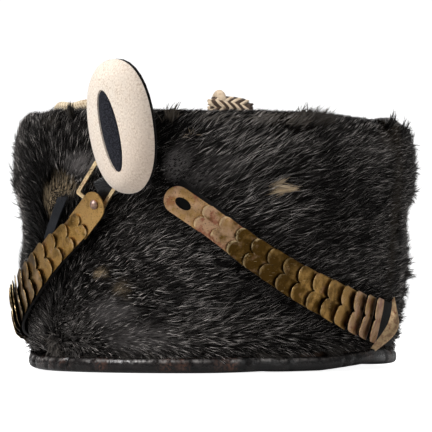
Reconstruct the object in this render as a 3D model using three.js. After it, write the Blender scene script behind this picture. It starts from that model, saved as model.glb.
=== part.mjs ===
// A hussar's busby: a low fur cap on a stiff shell, with a bound base, a recessed crown, an oval
// field badge on a post, and two tapering chin scales that are laid up across its front.
//
// Millimetres, +Z up. The cap's front faces -Y, and the wearer's left is +X. A place on the wall is
// given by its angle in degrees, from the front centre towards the wearer's left, and its height.
import * as THREE from "three";

const RAD = Math.PI / 180;

// ---- Driving dimensions ----

const CAP = {
  height: 126.4, // to the top of the fur, halfway round
  rimRise: 0.025, // the front of the rim stands higher than the mean by this share, the back lower
  rimHighest: -15, // the angle at which the rim stands highest
  earLift: 3.2, // the old lower edge arches up by this much over each ear
  halfX: 89.5, // outside of the fur at its lower edge
  halfY: 107.5,
  flare: 10, // how far the wall spreads on its way up
  flareFrom: 8,
  flareOver: 95,
  leanX: 0.0115, // the old cap leans a little: sideways shift for each millimetre of height
  leanY: 0.006,
  segments: 48,
};

const GAP = 0.3; // between pieces that touch
const WALL_HEIGHTS = [30, 60, 90]; // where both the shell and the back of the fur turn with the flare

const CROWN = { thickness: 2, belowRim: 4.9, dome: 1.2 };
const SHELL = { thickness: 3, furBelow: 4.2, furAbove: 6.4, bottom: 2.6 };

const BINDING = { height: 7.4, leather: 1.7, bulge: 1.4, flat: 1.2 };

const LIP = { reach: 15, thickness: 3.8 }; // the fur turned in over the crown's edge

const STRAP = {
  thickness: 1.6,
  narrower: 2.4, // than the scales over it
  length: 178,
  lift: 0.45,
  leftTip: 3, // where the wearer's left strap starts, from the tip of its end plate
  rightTip: 7.5,
  slip: -3.8, // how far the wearer's left one has slipped up from under its end plate
  slipOver: 60,
};

const SCALE = {
  count: 15, // on each chin scale
  first: 18.7, // from the strap's tip to the first free edge
  pitch: 9.7,
  length: 13.6,
  thickness: 0.7,
  widthAtTip: 13.5,
  widthAtEar: 24,
  lobeDepth: 2.6,
  camber: 0.9,
  tiltAtTip: 8, // degrees that a scale's free edge stands off the strap
  tiltAtEar: 11.5,
  tiltOfLast: 25,
};

const END_PLATE = { length: 24.5, thickness: 0.8, tilt: 4.5, tiltOverBuckle: 10 };
const EYE = { fromTip: 10, long: 4.4, wide: 2.5 }; // half-sizes of the slot in the left end plate
const RIVET = { fromTip: 5.6, radius: 2.6, height: 2.1 };
const BUCKLE = { wide: 17, long: 20, bar: 1.8, corner: 1.6, turn: 7, ahead: 0.2, across: 4.9 };
const TAB = { wide: 11, long: 22, thickness: 1.6, start: 5.8, turn: -24, sag: 2.4 };
const KEEPER = {
  degreesWide: 4,
  thickness: 1.2,
  from: { angle: -14.8, height: 84 },
  to: { angle: -22.2, height: 64 },
};
const ANCHOR = { radius: 4, height: 2.2 };

const BADGE = {
  halfWide: 18.8,
  halfHigh: 33.2,
  fullness: 2.25, // 2 is a true ellipse, and more is squarer
  depth: 12,
  inlayHalfWide: 5.6,
  inlayHalfHigh: 20.6,
  inlayTurn: 6, // the inlay is set a little askew, and low
  inlayDown: 1,
  inlayDeep: 1.6,
  back: 1.2,
  centre: [17.8, -129.4, 119.4],
  yaw: -7.5, // degrees; negative turns it towards the wearer's right
  lean: 10.5, // the top leans forward
  roll: 1.5, // and to the wearer's right
};
const POST = { radius: 1.6, low: -14 };

// The cap line is a round woollen cord that lies on the crown, through a woven slide.
const CORD = { diameter: 5.6, sides: 8, steps: 76 };
const SLIDE = { length: 24, radius: 6, centre: [43.8, -67.5, 130.2], turn: 27 };

// ---- Where the chin scales run, from tip to ear ----

const WEARERS_LEFT_ROUTE = [
  { angle: 17.5, height: 86.6, lift: 0 },
  { angle: 24, height: 78.6, lift: 0 },
  { angle: 31.5, height: 69.8, lift: 0 },
  { angle: 43.5, height: 55, lift: 0 },
  { angle: 58.5, height: 40, lift: 0 },
  { angle: 77.5, height: 26.6, lift: 0.2 },
  { angle: 94, height: 21, lift: 0 },
  { angle: 112, height: 19.5, lift: 0 },
];

const WEARERS_RIGHT_ROUTE = [
  { angle: 1.1, height: 86, lift: 0 },
  { angle: -3.4, height: 77.6, lift: 0 },
  { angle: -8.8, height: 69.2, lift: 0 },
  { angle: -19.3, height: 56.6, lift: 0.2 },
  { angle: -33.5, height: 42, lift: 0.6 },
  { angle: -50, height: 30.6, lift: 0.8 },
  { angle: -70, height: 23.6, lift: 0.6 },
  { angle: -104, height: 19.5, lift: 0 },
];

// Where the middle of the cap line runs: from the top of the slide, over the crown, up against the
// turned-in fur at the front, round the back and into the slide again.
const CORD_ROUTE = [
  { x: 36.7, y: -65.5, z: 134.1 },
  { x: 35.2, y: -62.6, z: 135.9 },
  { x: 33.6, y: -59.4, z: 136.4 },
  { x: 30.8, y: -53.9, z: 135 },
  { x: 27.6, y: -47.6, z: 131.2 },
  { x: 24.5, y: -41.4, z: 127.9 },
  { x: 19, y: -33, z: 126.9 },
  { x: 8.2, y: -16, z: 126.7 },
  { x: -2.2, y: -6.7, z: 126.4 },
  { x: -16.1, y: -5.9, z: 126.6 },
  { x: -23.6, y: -17.6, z: 126.9 },
  { x: -21.2, y: -33.3, z: 127.2 },
  { x: -11.5, y: -50.5, z: 127.5 },
  { x: -2.5, y: -67, z: 127.8 },
  { x: 3, y: -79, z: 128.4 },
  { x: 4.2, y: -90.5, z: 130 },
  { x: -3, y: -99.3, z: 131.5 },
  { x: -18.6, y: -100, z: 131.7 },
  { x: -30.2, y: -94, z: 130.6 },
  { x: -40, y: -88.2, z: 131.5 },
  { x: -47, y: -78, z: 129.8 },
  { x: -52.5, y: -64.5, z: 128 },
  { x: -59.1, y: -47, z: 127.4 },
  { x: -66.4, y: -28.2, z: 126.9 },
  { x: -68.4, y: -6.8, z: 126.4 },
  { x: -60, y: 12.1, z: 126 },
  { x: -44.9, y: 26.5, z: 125.6 },
  { x: -23.5, y: 35.2, z: 125.4 },
  { x: -4.7, y: 31.3, z: 125.4 },
  { x: 9.7, y: 16.2, z: 125.8 },
  { x: 22, y: -5.6, z: 126.2 },
  { x: 32.4, y: -28.4, z: 126.6 },
  { x: 40.6, y: -46.6, z: 127 },
  { x: 44.2, y: -54.6, z: 128.3 },
  { x: 46.2, y: -59.1, z: 129 },
];

// ---- Materials ----

const finish = (color, roughness, metalness) =>
  new THREE.MeshStandardMaterial({ color, roughness, metalness });

const MATERIAL = {
  fur: finish(0x1b1816, 0.85, 0),
  leather: finish(0x2a2725, 0.5, 0),
  shellLeather: finish(0x4a3527, 0.7, 0),
  crownCloth: finish(0x202126, 0.9, 0),
  brass: finish(0xb08d4c, 0.35, 1),
  badgeWool: finish(0xe9ddcc, 0.95, 0),
  badgeBlack: finish(0x26262c, 0.95, 0),
  cordWool: finish(0xd8c39b, 0.9, 0),
  slideWool: finish(0x9a8368, 0.9, 0),
};

// ---- The cap's wall ----

const clamp01 = (value) => Math.min(1, Math.max(0, value));
const mix = (from, to, share) => from + (to - from) * share;

const rimHeight = (angle) => CAP.height * (1 + CAP.rimRise * Math.cos((angle - CAP.rimHighest) * RAD));

/** How far the lower edge is lifted off the ground: nothing at the front and back, most at the ears. */
const edgeLift = (angle) => CAP.earLift * clamp01(2 * Math.abs(Math.sin(angle * RAD)) - 1) ** 2;

/** A point on the outside of the fur, or `out` beyond it. */
function wallPoint(angle, height, out = 0) {
  const spread = CAP.flare * Math.sin((Math.PI / 2) * clamp01((height - CAP.flareFrom) / CAP.flareOver));
  return new THREE.Vector3(
    (CAP.halfX + spread + out) * Math.sin(angle * RAD) + CAP.leanX * height,
    -(CAP.halfY + spread + out) * Math.cos(angle * RAD) + CAP.leanY * height,
    mix(edgeLift(angle), rimHeight(angle), height / CAP.height),
  );
}

/** The outward direction of the wall at a place. */
function wallNormal(angle, height) {
  const step = 0.5;
  const here = wallPoint(angle, height);
  const along = wallPoint(angle + step, height).sub(here);
  const up = wallPoint(angle, height + step).sub(here);
  return along.cross(up).normalize();
}

/** How far inside the fur's surface the shell's outer face lies. */
const shellDepth = (height) => mix(SHELL.furBelow, SHELL.furAbove, clamp01(height / 60));

// ---- Solids from points ----

/** A geometry from points and triangles, turned inside out if its faces point inwards. */
function closedGeometry(points, triangles) {
  let volume = 0;
  for (const [a, b, c] of triangles) {
    volume += points[a].dot(new THREE.Vector3().crossVectors(points[b], points[c]));
  }
  const index = volume < 0 ? triangles.map(([a, b, c]) => [a, c, b]) : triangles;
  const geometry = new THREE.BufferGeometry().setFromPoints(points);
  geometry.setIndex(index.flat());
  return geometry;
}

/** Joins rings of points: in a loop, as round an oval cap, or from end to end with both ends closed. */
function ringSolid(rings, { loop }) {
  const size = rings[0].length;
  const points = rings.flat();
  const triangles = [];
  const joins = loop ? rings.length : rings.length - 1;
  for (let i = 0; i < joins; i++) {
    const here = i * size;
    const next = ((i + 1) % rings.length) * size;
    for (let j = 0; j < size; j++) {
      const k = (j + 1) % size;
      triangles.push([here + j, here + k, next + k], [here + j, next + k, next + j]);
    }
  }
  if (!loop) {
    for (const [ring, turned] of [[0, true], [rings.length - 1, false]]) {
      const middle = points.length;
      const sum = new THREE.Vector3();
      rings[ring].forEach((p) => sum.add(p));
      points.push(sum.divideScalar(size));
      for (let j = 0; j < size; j++) {
        const edge = [ring * size + j, ring * size + ((j + 1) % size)];
        triangles.push(turned ? [middle, edge[1], edge[0]] : [middle, edge[0], edge[1]]);
      }
    }
  }
  return closedGeometry(points, triangles);
}

/** A thin sheet: place(s, t, side) gives its upper face at side 1 and its lower face at side 0. */
function sheetSolid(alongSteps, acrossSteps, place) {
  const points = [];
  const triangles = [];
  const at = (side, i, j) => side * (alongSteps + 1) * (acrossSteps + 1) + i * (acrossSteps + 1) + j;
  for (const side of [0, 1]) {
    for (let i = 0; i <= alongSteps; i++) {
      for (let j = 0; j <= acrossSteps; j++) {
        points.push(place(i / alongSteps, j / acrossSteps, side));
      }
    }
  }
  const quad = (a, b, c, d) => triangles.push([a, b, c], [a, c, d]);
  for (let i = 0; i < alongSteps; i++) {
    for (let j = 0; j < acrossSteps; j++) {
      quad(at(1, i, j), at(1, i + 1, j), at(1, i + 1, j + 1), at(1, i, j + 1));
      quad(at(0, i, j), at(0, i, j + 1), at(0, i + 1, j + 1), at(0, i + 1, j));
    }
    quad(at(0, i, 0), at(0, i + 1, 0), at(1, i + 1, 0), at(1, i, 0));
    quad(at(1, i, acrossSteps), at(1, i + 1, acrossSteps), at(0, i + 1, acrossSteps), at(0, i, acrossSteps));
  }
  for (let j = 0; j < acrossSteps; j++) {
    quad(at(1, 0, j), at(1, 0, j + 1), at(0, 0, j + 1), at(0, 0, j));
    quad(at(0, alongSteps, j), at(0, alongSteps, j + 1), at(1, alongSteps, j + 1), at(1, alongSteps, j));
  }
  return closedGeometry(points, triangles);
}

/** A ring round the cap whose section is a closed profile of { height, out } rows. */
function capRing(profile) {
  const rings = [];
  for (let i = 0; i < CAP.segments; i++) {
    const angle = (360 * i) / CAP.segments;
    rings.push(profile.map(({ height, out }) => wallPoint(angle, height, out)));
  }
  return ringSolid(rings, { loop: true });
}

function mesh(name, geometry, material) {
  const made = new THREE.Mesh(geometry, material);
  made.name = name;
  return made;
}

// ---- Shell, fur, binding and crown ----

const RIM = CAP.height;
const CROWN_EDGE = -shellDepth(RIM) - 2 * GAP; // how far inside the fur's surface the crown ends

/** The stiff wall that gives the cap its form, open above and below. */
function makeShell() {
  const top = RIM - CROWN.belowRim - CROWN.thickness - GAP;
  const heights = [SHELL.bottom, BINDING.height + GAP, ...WALL_HEIGHTS, top];
  const outer = heights.map((height) => ({ height, out: -shellDepth(height) - GAP }));
  const inner = [...outer].reverse().map(({ height, out }) => ({ height, out: out - SHELL.thickness }));
  return mesh("shell", capRing([...outer, ...inner]), MATERIAL.shellLeather);
}

/** The pelt: its outer form up the wall, rounded at the rim and turned in over the crown's edge. */
function makeFurCover() {
  const bottom = BINDING.height + GAP;
  const lipUnder = RIM - LIP.thickness;
  const outer = [
    { height: bottom, out: 0 },
    { height: 24, out: 0 },
    { height: 42, out: 0 },
    { height: 62, out: 0 },
    { height: 84, out: 0 },
    { height: RIM - 21.5, out: 0 },
    { height: RIM - 12.5, out: -0.8 },
    { height: RIM - 6, out: -2.8 },
    { height: RIM - 1.9, out: -5.4 },
    { height: RIM, out: -8.5 },
    { height: RIM - 0.6, out: 3 - LIP.reach },
    { height: RIM - 3.2, out: -LIP.reach },
  ];
  const inner = [
    { height: lipUnder, out: -LIP.reach - 0.3 },
    { height: lipUnder, out: -shellDepth(RIM) },
    ...[...WALL_HEIGHTS].reverse().map((height) => ({ height, out: -shellDepth(height) })),
    { height: bottom, out: -shellDepth(bottom) },
  ];
  return mesh("fur_cover", capRing([...outer, ...inner]), MATERIAL.fur);
}

/** Leather folded round the lower edge of the shell, with a padded outer face and a flat foot. */
function makeBinding() {
  const outside = -shellDepth(SHELL.bottom) - GAP; // the shell's outer face
  const inside = outside - SHELL.thickness;
  const leg = inside - GAP - BINDING.leather;
  const { height, bulge, flat } = BINDING;
  const profile = [
    { height: 0, out: -flat },
    { height: 0.9, out: bulge * 0.5 },
    { height: 2.4, out: bulge },
    { height: 4.8, out: bulge },
    { height: 6.6, out: bulge * 0.6 },
    { height, out: -0.6 },
    { height, out: outside + GAP },
    { height: SHELL.bottom - GAP, out: outside + GAP },
    { height: SHELL.bottom - GAP, out: inside - GAP },
    { height, out: inside - GAP },
    { height, out: leg + 0.5 },
    { height: 6, out: leg },
    { height: 1.2, out: leg },
    { height: 0, out: leg + flat },
  ];
  return mesh("base_binding", capRing(profile), MATERIAL.leather);
}

const CROWN_CENTRE = new THREE.Vector3(CAP.leanX * RIM, CAP.leanY * RIM, 0);

/** Height of the crown's upper face at a share of the way from its middle to its edge. */
function crownHeight(angle, share) {
  const flat = RIM - CROWN.belowRim + CROWN.dome * (1 - share * share);
  return flat * mix(1, rimHeight(angle) / RIM, share);
}

/** The closed top: a shallow domed disc on the shell's upper edge. */
function makeCrown() {
  const shares = [0.12, 0.35, 0.6, 0.82, 1];
  const ring = (share, drop) => {
    const points = [];
    for (let i = 0; i < CAP.segments; i++) {
      const angle = (360 * i) / CAP.segments;
      const point = new THREE.Vector3().lerpVectors(CROWN_CENTRE, wallPoint(angle, RIM, CROWN_EDGE), share);
      points.push(point.setZ(crownHeight(angle, share) - drop));
    }
    return points;
  };
  const under = shares.map((share) => ring(share, CROWN.thickness));
  const over = [...shares].reverse().map((share) => ring(share, 0));
  return mesh("crown", ringSolid([...under, ...over], { loop: false }), MATERIAL.crownCloth);
}

// ---- Chin scales ----

/** A route along the wall, measured from its tip. at(length) gives a place and its three directions. */
class StrapRoute {
  constructor(rows) {
    const curve = new THREE.CatmullRomCurve3(rows.map((r) => new THREE.Vector3(r.angle, r.height, r.lift)));
    this.places = curve.getPoints(600);
    this.points = this.places.map((p) => wallPoint(p.x, p.y, p.z + STRAP.lift));
    this.lengths = [0];
    for (let i = 1; i < this.points.length; i++) {
      this.lengths.push(this.lengths[i - 1] + this.points[i].distanceTo(this.points[i - 1]));
    }
  }

  at(length) {
    let i = 1;
    while (i < this.lengths.length - 1 && this.lengths[i] < length) i++;
    const share = (length - this.lengths[i - 1]) / (this.lengths[i] - this.lengths[i - 1]);
    const origin = new THREE.Vector3().lerpVectors(this.points[i - 1], this.points[i], share);
    const toTip = new THREE.Vector3().subVectors(this.points[i - 1], this.points[i]).normalize();
    const place = new THREE.Vector3().lerpVectors(this.places[i - 1], this.places[i], share);
    const rough = wallNormal(place.x, place.y);
    const across = new THREE.Vector3().crossVectors(rough, toTip).normalize();
    const up = new THREE.Vector3().crossVectors(toTip, across);
    return { origin, toTip, across, up };
  }

  /** A frame at a length whose X runs to the tip, Y across and Z off the wall, raised and tilted. */
  frame(length, { raise = 0, tilt = 0, turn = 0, shift = 0 } = {}) {
    const { origin, toTip, across, up } = this.at(length);
    const base = new THREE.Matrix4().makeBasis(toTip, across, up);
    base.setPosition(origin.clone().addScaledVector(up, raise));
    base.multiply(new THREE.Matrix4().makeRotationZ(turn * RAD));
    base.multiply(new THREE.Matrix4().makeTranslation(0, shift, 0));
    return base.multiply(new THREE.Matrix4().makeRotationY(-tilt * RAD));
  }
}

/** Width of a scale whose free edge is this far from the tip. */
const scaleWidth = (length) =>
  mix(SCALE.widthAtTip, SCALE.widthAtEar, clamp01(length / (SCALE.first + SCALE.pitch * (SCALE.count - 1))));

/** The leather under the scales. */
function makeStrap(name, route, { tip, slip }) {
  const geometry = sheetSolid(26, 1, (s, t, side) => {
    const length = mix(tip, STRAP.length, s);
    const { origin, across, up } = route.at(length);
    const half = (scaleWidth(length) - STRAP.narrower) / 2;
    const moved = slip * clamp01(1 - length / STRAP.slipOver);
    return origin
      .clone()
      .addScaledVector(across, mix(moved - half, moved + half, t))
      .addScaledVector(up, side * STRAP.thickness);
  });
  return mesh(name, geometry, MATERIAL.leather);
}

/** How far a two-lobed edge is cut back at t across it, as a share of the lobes' depth. */
function lobeCut(t) {
  const inLobe = 2 * ((2 * t) % 1) - 1;
  return t === 0 || t === 1 || t === 0.5 ? 1 : 1 - Math.sqrt(Math.max(0, 1 - inLobe * inLobe));
}

/** One brass scale, flat on XY: its root at the origin, its two-lobed free edge towards +X. */
function scaleGeometry(width) {
  return sheetSolid(2, 8, (s, t, side) => {
    const across = mix(-width / 2, width / 2, t);
    const crown = SCALE.camber * (1 - (2 * t - 1) ** 2);
    const along = s * (SCALE.length - SCALE.lobeDepth * lobeCut(t));
    return new THREE.Vector3(along, across, crown + side * SCALE.thickness);
  });
}

function makeScales(prefix, route) {
  const scales = [];
  for (let i = 0; i < SCALE.count; i++) {
    const freeEdge = SCALE.first + SCALE.pitch * i;
    const share = i / (SCALE.count - 1);
    const last = i === SCALE.count - 1;
    const tilt = last ? SCALE.tiltOfLast : mix(SCALE.tiltAtTip, SCALE.tiltAtEar, share);
    const scale = mesh(
      `${prefix}_${String(i + 1).padStart(2, "0")}`,
      scaleGeometry(scaleWidth(freeEdge)),
      MATERIAL.brass,
    );
    const raise = STRAP.thickness + GAP + 0.1;
    scale.applyMatrix4(route.frame(freeEdge + SCALE.length, { raise, tilt }));
    scales.push(scale);
  }
  return scales;
}

/** The outline of an end plate: a strip whose far end is round. */
function endPlateShape(length, width) {
  const half = width / 2;
  const shape = new THREE.Shape();
  shape.moveTo(0, -half);
  shape.lineTo(length - half, -half);
  shape.absarc(length - half, 0, half, -Math.PI / 2, Math.PI / 2, false);
  shape.lineTo(0, half);
  shape.closePath();
  return shape;
}

const END_FRAME = { raise: STRAP.thickness + GAP, tilt: END_PLATE.tilt };

/** The wearer's left end plate, pierced with a slot. */
function makeEyePlate(route) {
  const width = SCALE.widthAtTip;
  const shape = endPlateShape(END_PLATE.length, width);
  const slot = new THREE.Path();
  slot.absellipse(END_PLATE.length - EYE.fromTip, 0, EYE.long, EYE.wide, 0, 2 * Math.PI, true, 0);
  shape.holes.push(slot);
  const geometry = new THREE.ExtrudeGeometry(shape, {
    depth: END_PLATE.thickness,
    bevelEnabled: false,
    curveSegments: 12,
  });
  const plate = mesh("left_eye_plate", geometry, MATERIAL.brass);
  plate.applyMatrix4(route.frame(END_PLATE.length, END_FRAME));
  return plate;
}

/** The wearer's right end plate with its rivet, the buckle that it holds and the tab in the buckle. */
function makeBuckleEnd(route) {
  const width = SCALE.widthAtTip + 1;
  const geometry = new THREE.ExtrudeGeometry(endPlateShape(END_PLATE.length, width), {
    depth: END_PLATE.thickness,
    bevelEnabled: false,
    curveSegments: 12,
  });
  const lift = { raise: STRAP.thickness + GAP, tilt: END_PLATE.tiltOverBuckle };
  const plate = mesh("right_end_plate", geometry, MATERIAL.brass);
  plate.applyMatrix4(route.frame(END_PLATE.length, lift));

  const profile = [
    [0, 0],
    [RIVET.radius, 0],
    [RIVET.radius * 0.95, RIVET.height * 0.35],
    [RIVET.radius * 0.68, RIVET.height * 0.78],
    [RIVET.radius * 0.3, RIVET.height * 0.97],
    [0, RIVET.height],
  ].map(([r, z]) => new THREE.Vector2(r, z));
  const head = new THREE.LatheGeometry(profile, 16).rotateX(Math.PI / 2);
  const rivet = mesh("right_end_rivet", head, MATERIAL.brass);
  rivet.applyMatrix4(
    route
      .frame(END_PLATE.length, lift)
      .multiply(
        new THREE.Matrix4().makeTranslation(
          END_PLATE.length - RIVET.fromTip,
          0,
          END_PLATE.thickness + GAP * 0.5,
        ),
      ),
  );

  const frame = new THREE.Shape();
  roundedRectangle(frame, BUCKLE.long, BUCKLE.wide, BUCKLE.corner);
  const window = new THREE.Path();
  roundedRectangle(window, BUCKLE.long - 2 * BUCKLE.bar, BUCKLE.wide - 2 * BUCKLE.bar, BUCKLE.corner / 2);
  frame.holes.push(window);
  const buckle = mesh(
    "right_buckle",
    new THREE.ExtrudeGeometry(frame, { depth: BUCKLE.bar, bevelEnabled: false, curveSegments: 4 }),
    MATERIAL.brass,
  );
  const place = { raise: STRAP.thickness + GAP, turn: BUCKLE.turn, shift: BUCKLE.across };
  buckle.applyMatrix4(
    route.frame(0, place).multiply(new THREE.Matrix4().makeTranslation(BUCKLE.ahead, 0, 0)),
  );

  const tab = mesh("right_buckle_tab", tabGeometry(), MATERIAL.leather);
  tab.applyMatrix4(route.frame(TAB.start, { turn: TAB.turn, shift: BUCKLE.across }));
  return [plate, rivet, buckle, tab];
}

function roundedRectangle(path, long, wide, corner) {
  const [x, y] = [long / 2, wide / 2];
  path.moveTo(-x + corner, -y);
  path.lineTo(x - corner, -y);
  path.absarc(x - corner, -y + corner, corner, -Math.PI / 2, 0, false);
  path.lineTo(x, y - corner);
  path.absarc(x - corner, y - corner, corner, 0, Math.PI / 2, false);
  path.lineTo(-x + corner, y);
  path.absarc(-x + corner, y - corner, corner, Math.PI / 2, Math.PI, false);
  path.lineTo(-x, -y + corner);
  path.absarc(-x + corner, -y + corner, corner, Math.PI, 1.5 * Math.PI, false);
}

/** A leather tab that lies on the fur below the buckle's window and runs on under the badge. */
function tabGeometry() {
  return sheetSolid(6, 1, (s, t, side) => {
    const sag = -TAB.sag * s * s; // it follows the round of the cap
    return new THREE.Vector3(s * TAB.long, mix(-TAB.wide / 2, TAB.wide / 2, t), sag + side * TAB.thickness);
  });
}

/** A narrow leather keeper that lies on the fur and comes out from under the wearer's right scales. */
function makeKeeper() {
  const geometry = sheetSolid(6, 1, (s, t, side) => {
    const angle = mix(KEEPER.from.angle, KEEPER.to.angle, s) + (t - 0.5) * KEEPER.degreesWide;
    const height = mix(KEEPER.from.height, KEEPER.to.height, s);
    return wallPoint(angle, height, STRAP.lift + side * KEEPER.thickness);
  });
  return mesh("right_keeper", geometry, MATERIAL.leather);
}

/** The stud that holds a chin scale's upper end to the cap. */
function makeAnchor(name, route) {
  const profile = [
    [0, 0],
    [ANCHOR.radius, 0],
    [ANCHOR.radius * 0.9, ANCHOR.height * 0.5],
    [ANCHOR.radius * 0.5, ANCHOR.height * 0.9],
    [0, ANCHOR.height],
  ].map(([r, z]) => new THREE.Vector2(r, z));
  const geometry = new THREE.LatheGeometry(profile, 20).rotateX(Math.PI / 2);
  const anchor = mesh(name, geometry, MATERIAL.brass);
  anchor.applyMatrix4(route.frame(STRAP.length - ANCHOR.radius - 1, { raise: STRAP.thickness + GAP }));
  return anchor;
}

// ---- Field badge ----

/** The badge's own frame: its face looks along +Z of the frame, and its long axis is Y. */
function badgeFrame() {
  const matrix = new THREE.Matrix4().makeTranslation(...BADGE.centre);
  matrix.multiply(new THREE.Matrix4().makeRotationZ(BADGE.yaw * RAD));
  matrix.multiply(new THREE.Matrix4().makeRotationX(Math.PI / 2 + BADGE.lean * RAD));
  return matrix.multiply(new THREE.Matrix4().makeRotationZ(BADGE.roll * RAD));
}

const power = (value, exponent) => Math.sign(value) * Math.abs(value) ** exponent;

/** Stacked ovals of { wide, high, z } half-sizes; askew is how far each has gone over to the inlay's set. */
function ovalStack(rows, sides) {
  const rings = rows.map(({ wide, high, z, askew }) => {
    const ring = [];
    const round = 2 / mix(BADGE.fullness, 2, askew);
    for (let i = 0; i < sides; i++) {
      const a = (2 * Math.PI * i) / sides;
      const point = new THREE.Vector3(wide * power(Math.cos(a), round), high * power(Math.sin(a), round), z);
      point.applyAxisAngle(new THREE.Vector3(0, 0, 1), askew * BADGE.inlayTurn * RAD);
      point.y -= askew * BADGE.inlayDown;
      ring.push(point);
    }
    return ring;
  });
  return ringSolid(rings, { loop: false });
}

/** A row of the domed face at a share of the way from its edge to the inlay's rim. */
function domeRow(share) {
  const turn = (share * Math.PI) / 2;
  const inset = 1 - Math.cos(turn);
  return {
    wide: mix(BADGE.halfWide, BADGE.inlayHalfWide, inset),
    high: mix(BADGE.halfHigh, BADGE.inlayHalfHigh, inset),
    z: BADGE.depth * Math.sin(turn),
    askew: inset,
  };
}

function makeBadge() {
  const { halfWide, halfHigh, inlayHalfWide, inlayHalfHigh, inlayDeep, depth, back } = BADGE;
  const sides = 32;
  const pocket = depth - inlayDeep;
  const domeRows = [0, 0.14, 0.3, 0.48, 0.66, 0.84, 1].map(domeRow);
  const rim = [
    { wide: inlayHalfWide - 0.3, high: inlayHalfHigh - 0.3, z: depth, askew: 1 },
    { wide: inlayHalfWide - 0.3, high: inlayHalfHigh - 0.3, z: pocket, askew: 1 },
  ];
  const dome = mesh("badge_dome", ovalStack([...domeRows, ...rim], sides), MATERIAL.badgeWool);
  const inlayWide = inlayHalfWide - 0.3 - GAP;
  const inlayHigh = inlayHalfHigh - 0.3 - GAP;
  const inlay = mesh(
    "badge_inlay",
    ovalStack(
      [
        { wide: inlayWide, high: inlayHigh, z: pocket + GAP, askew: 1 },
        { wide: inlayWide, high: inlayHigh, z: depth - 0.5, askew: 1 },
        { wide: inlayWide - 1, high: inlayHigh - 1.6, z: depth, askew: 1 },
        { wide: inlayWide - 3, high: inlayHigh - 8, z: depth + 0.3, askew: 1 },
      ],
      sides,
    ),
    MATERIAL.badgeBlack,
  );
  const backing = mesh(
    "badge_back",
    ovalStack(
      [
        { wide: halfWide + 0.1, high: halfHigh + 0.1, z: -GAP - back, askew: 0 },
        { wide: halfWide + 0.5, high: halfHigh + 0.5, z: -GAP - back * 0.4, askew: 0 },
        { wide: halfWide + 0.2, high: halfHigh + 0.2, z: -GAP, askew: 0 },
      ],
      sides,
    ),
    MATERIAL.leather,
  );
  const group = new THREE.Group();
  group.add(dome, inlay, backing);
  group.applyMatrix4(badgeFrame());
  return group;
}

/** The plain post behind the badge, from its back to the fur. */
function makeBadgePost() {
  const start = new THREE.Vector3(0, POST.low, -2 * GAP - BADGE.back - 0.1).applyMatrix4(badgeFrame());
  const height = (start.z * RIM) / rimHeight(0);
  let angle = 0;
  while (wallPoint(angle, height).x < start.x) angle += 0.1;
  const seat = wallPoint(angle, height, GAP + 0.2);
  const length = start.distanceTo(seat);
  const geometry = new THREE.CylinderGeometry(POST.radius, POST.radius, length, 16);
  geometry.applyQuaternion(
    new THREE.Quaternion().setFromUnitVectors(
      new THREE.Vector3(0, 1, 0),
      new THREE.Vector3().subVectors(seat, start).normalize(),
    ),
  );
  const post = mesh("badge_post", geometry, MATERIAL.brass);
  post.position.addVectors(start, seat).multiplyScalar(0.5);
  return post;
}

// ---- Cap line ----

function makeCapLine() {
  const radius = CORD.diameter / 2;
  const points = CORD_ROUTE.map(({ x, y, z }) => new THREE.Vector3(x, y, z));
  const section = new THREE.Shape();
  for (let i = 0; i < CORD.sides; i++) {
    const a = (2 * Math.PI * i) / CORD.sides;
    const [x, y] = [radius * Math.cos(a), radius * Math.sin(a)];
    if (i === 0) section.moveTo(x, y);
    else section.lineTo(x, y);
  }
  section.closePath();
  const cord = mesh(
    "cap_line",
    new THREE.ExtrudeGeometry(section, {
      steps: CORD.steps,
      extrudePath: new THREE.CatmullRomCurve3(points),
    }),
    MATERIAL.cordWool,
  );

  const { length, radius: slideRadius, centre, turn } = SLIDE;
  const profile = [
    [0, -length / 2],
    [slideRadius * 0.62, -length / 2],
    [slideRadius * 0.88, -length * 0.42],
    [slideRadius, -length * 0.25],
    [slideRadius, length * 0.25],
    [slideRadius * 0.88, length * 0.42],
    [slideRadius * 0.62, length / 2],
    [0, length / 2],
  ].map(([r, z]) => new THREE.Vector2(r, z));
  const slide = mesh("cap_line_slide", new THREE.LatheGeometry(profile, 20), MATERIAL.slideWool);
  slide.rotation.set(0, 0, turn * RAD - Math.PI / 2);
  slide.position.set(...centre);
  return [cord, slide];
}

// ---- Assembly ----

const leftRoute = new StrapRoute(WEARERS_LEFT_ROUTE);
const rightRoute = new StrapRoute(WEARERS_RIGHT_ROUTE);

const cap = new THREE.Group();
cap.add(makeShell(), makeFurCover(), makeBinding(), makeCrown());
const leftStrap = { tip: STRAP.leftTip, slip: STRAP.slip };
cap.add(makeStrap("left_strap", leftRoute, leftStrap), ...makeScales("left_scale", leftRoute));
cap.add(makeEyePlate(leftRoute), makeAnchor("left_anchor", leftRoute));
const rightStrap = { tip: STRAP.rightTip, slip: 0 };
cap.add(makeStrap("right_strap", rightRoute, rightStrap), ...makeScales("right_scale", rightRoute));
cap.add(...makeBuckleEnd(rightRoute), makeKeeper(), makeAnchor("right_anchor", rightRoute));
cap.add(makeBadge(), makeBadgePost(), ...makeCapLine());

// The part's origin is the middle of its box, on the surface that it stands on.
cap.updateMatrixWorld(true);
const box = new THREE.Box3().setFromObject(cap, true);
const middle = box.getCenter(new THREE.Vector3());
cap.position.set(-middle.x, -middle.y, -box.min.z);

const part = new THREE.Group();
part.add(cap);
export default part;
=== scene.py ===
# %% [markdown]
# # A hussar's fur cap
# This lesson dresses a busby: a low, stiff cap covered with a long-haired black pelt, bound in leather
# at its foot. A cream field badge leans at its front, and two brass chin scales are laid up across the
# fur. The solid parts come ready made, at their real size, as a fixed frame. Everything here is built
# round that frame in metres, with +Z up, the cap's front towards -Y and the wearer's left towards +X.

# %% Load the frame
import math

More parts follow.
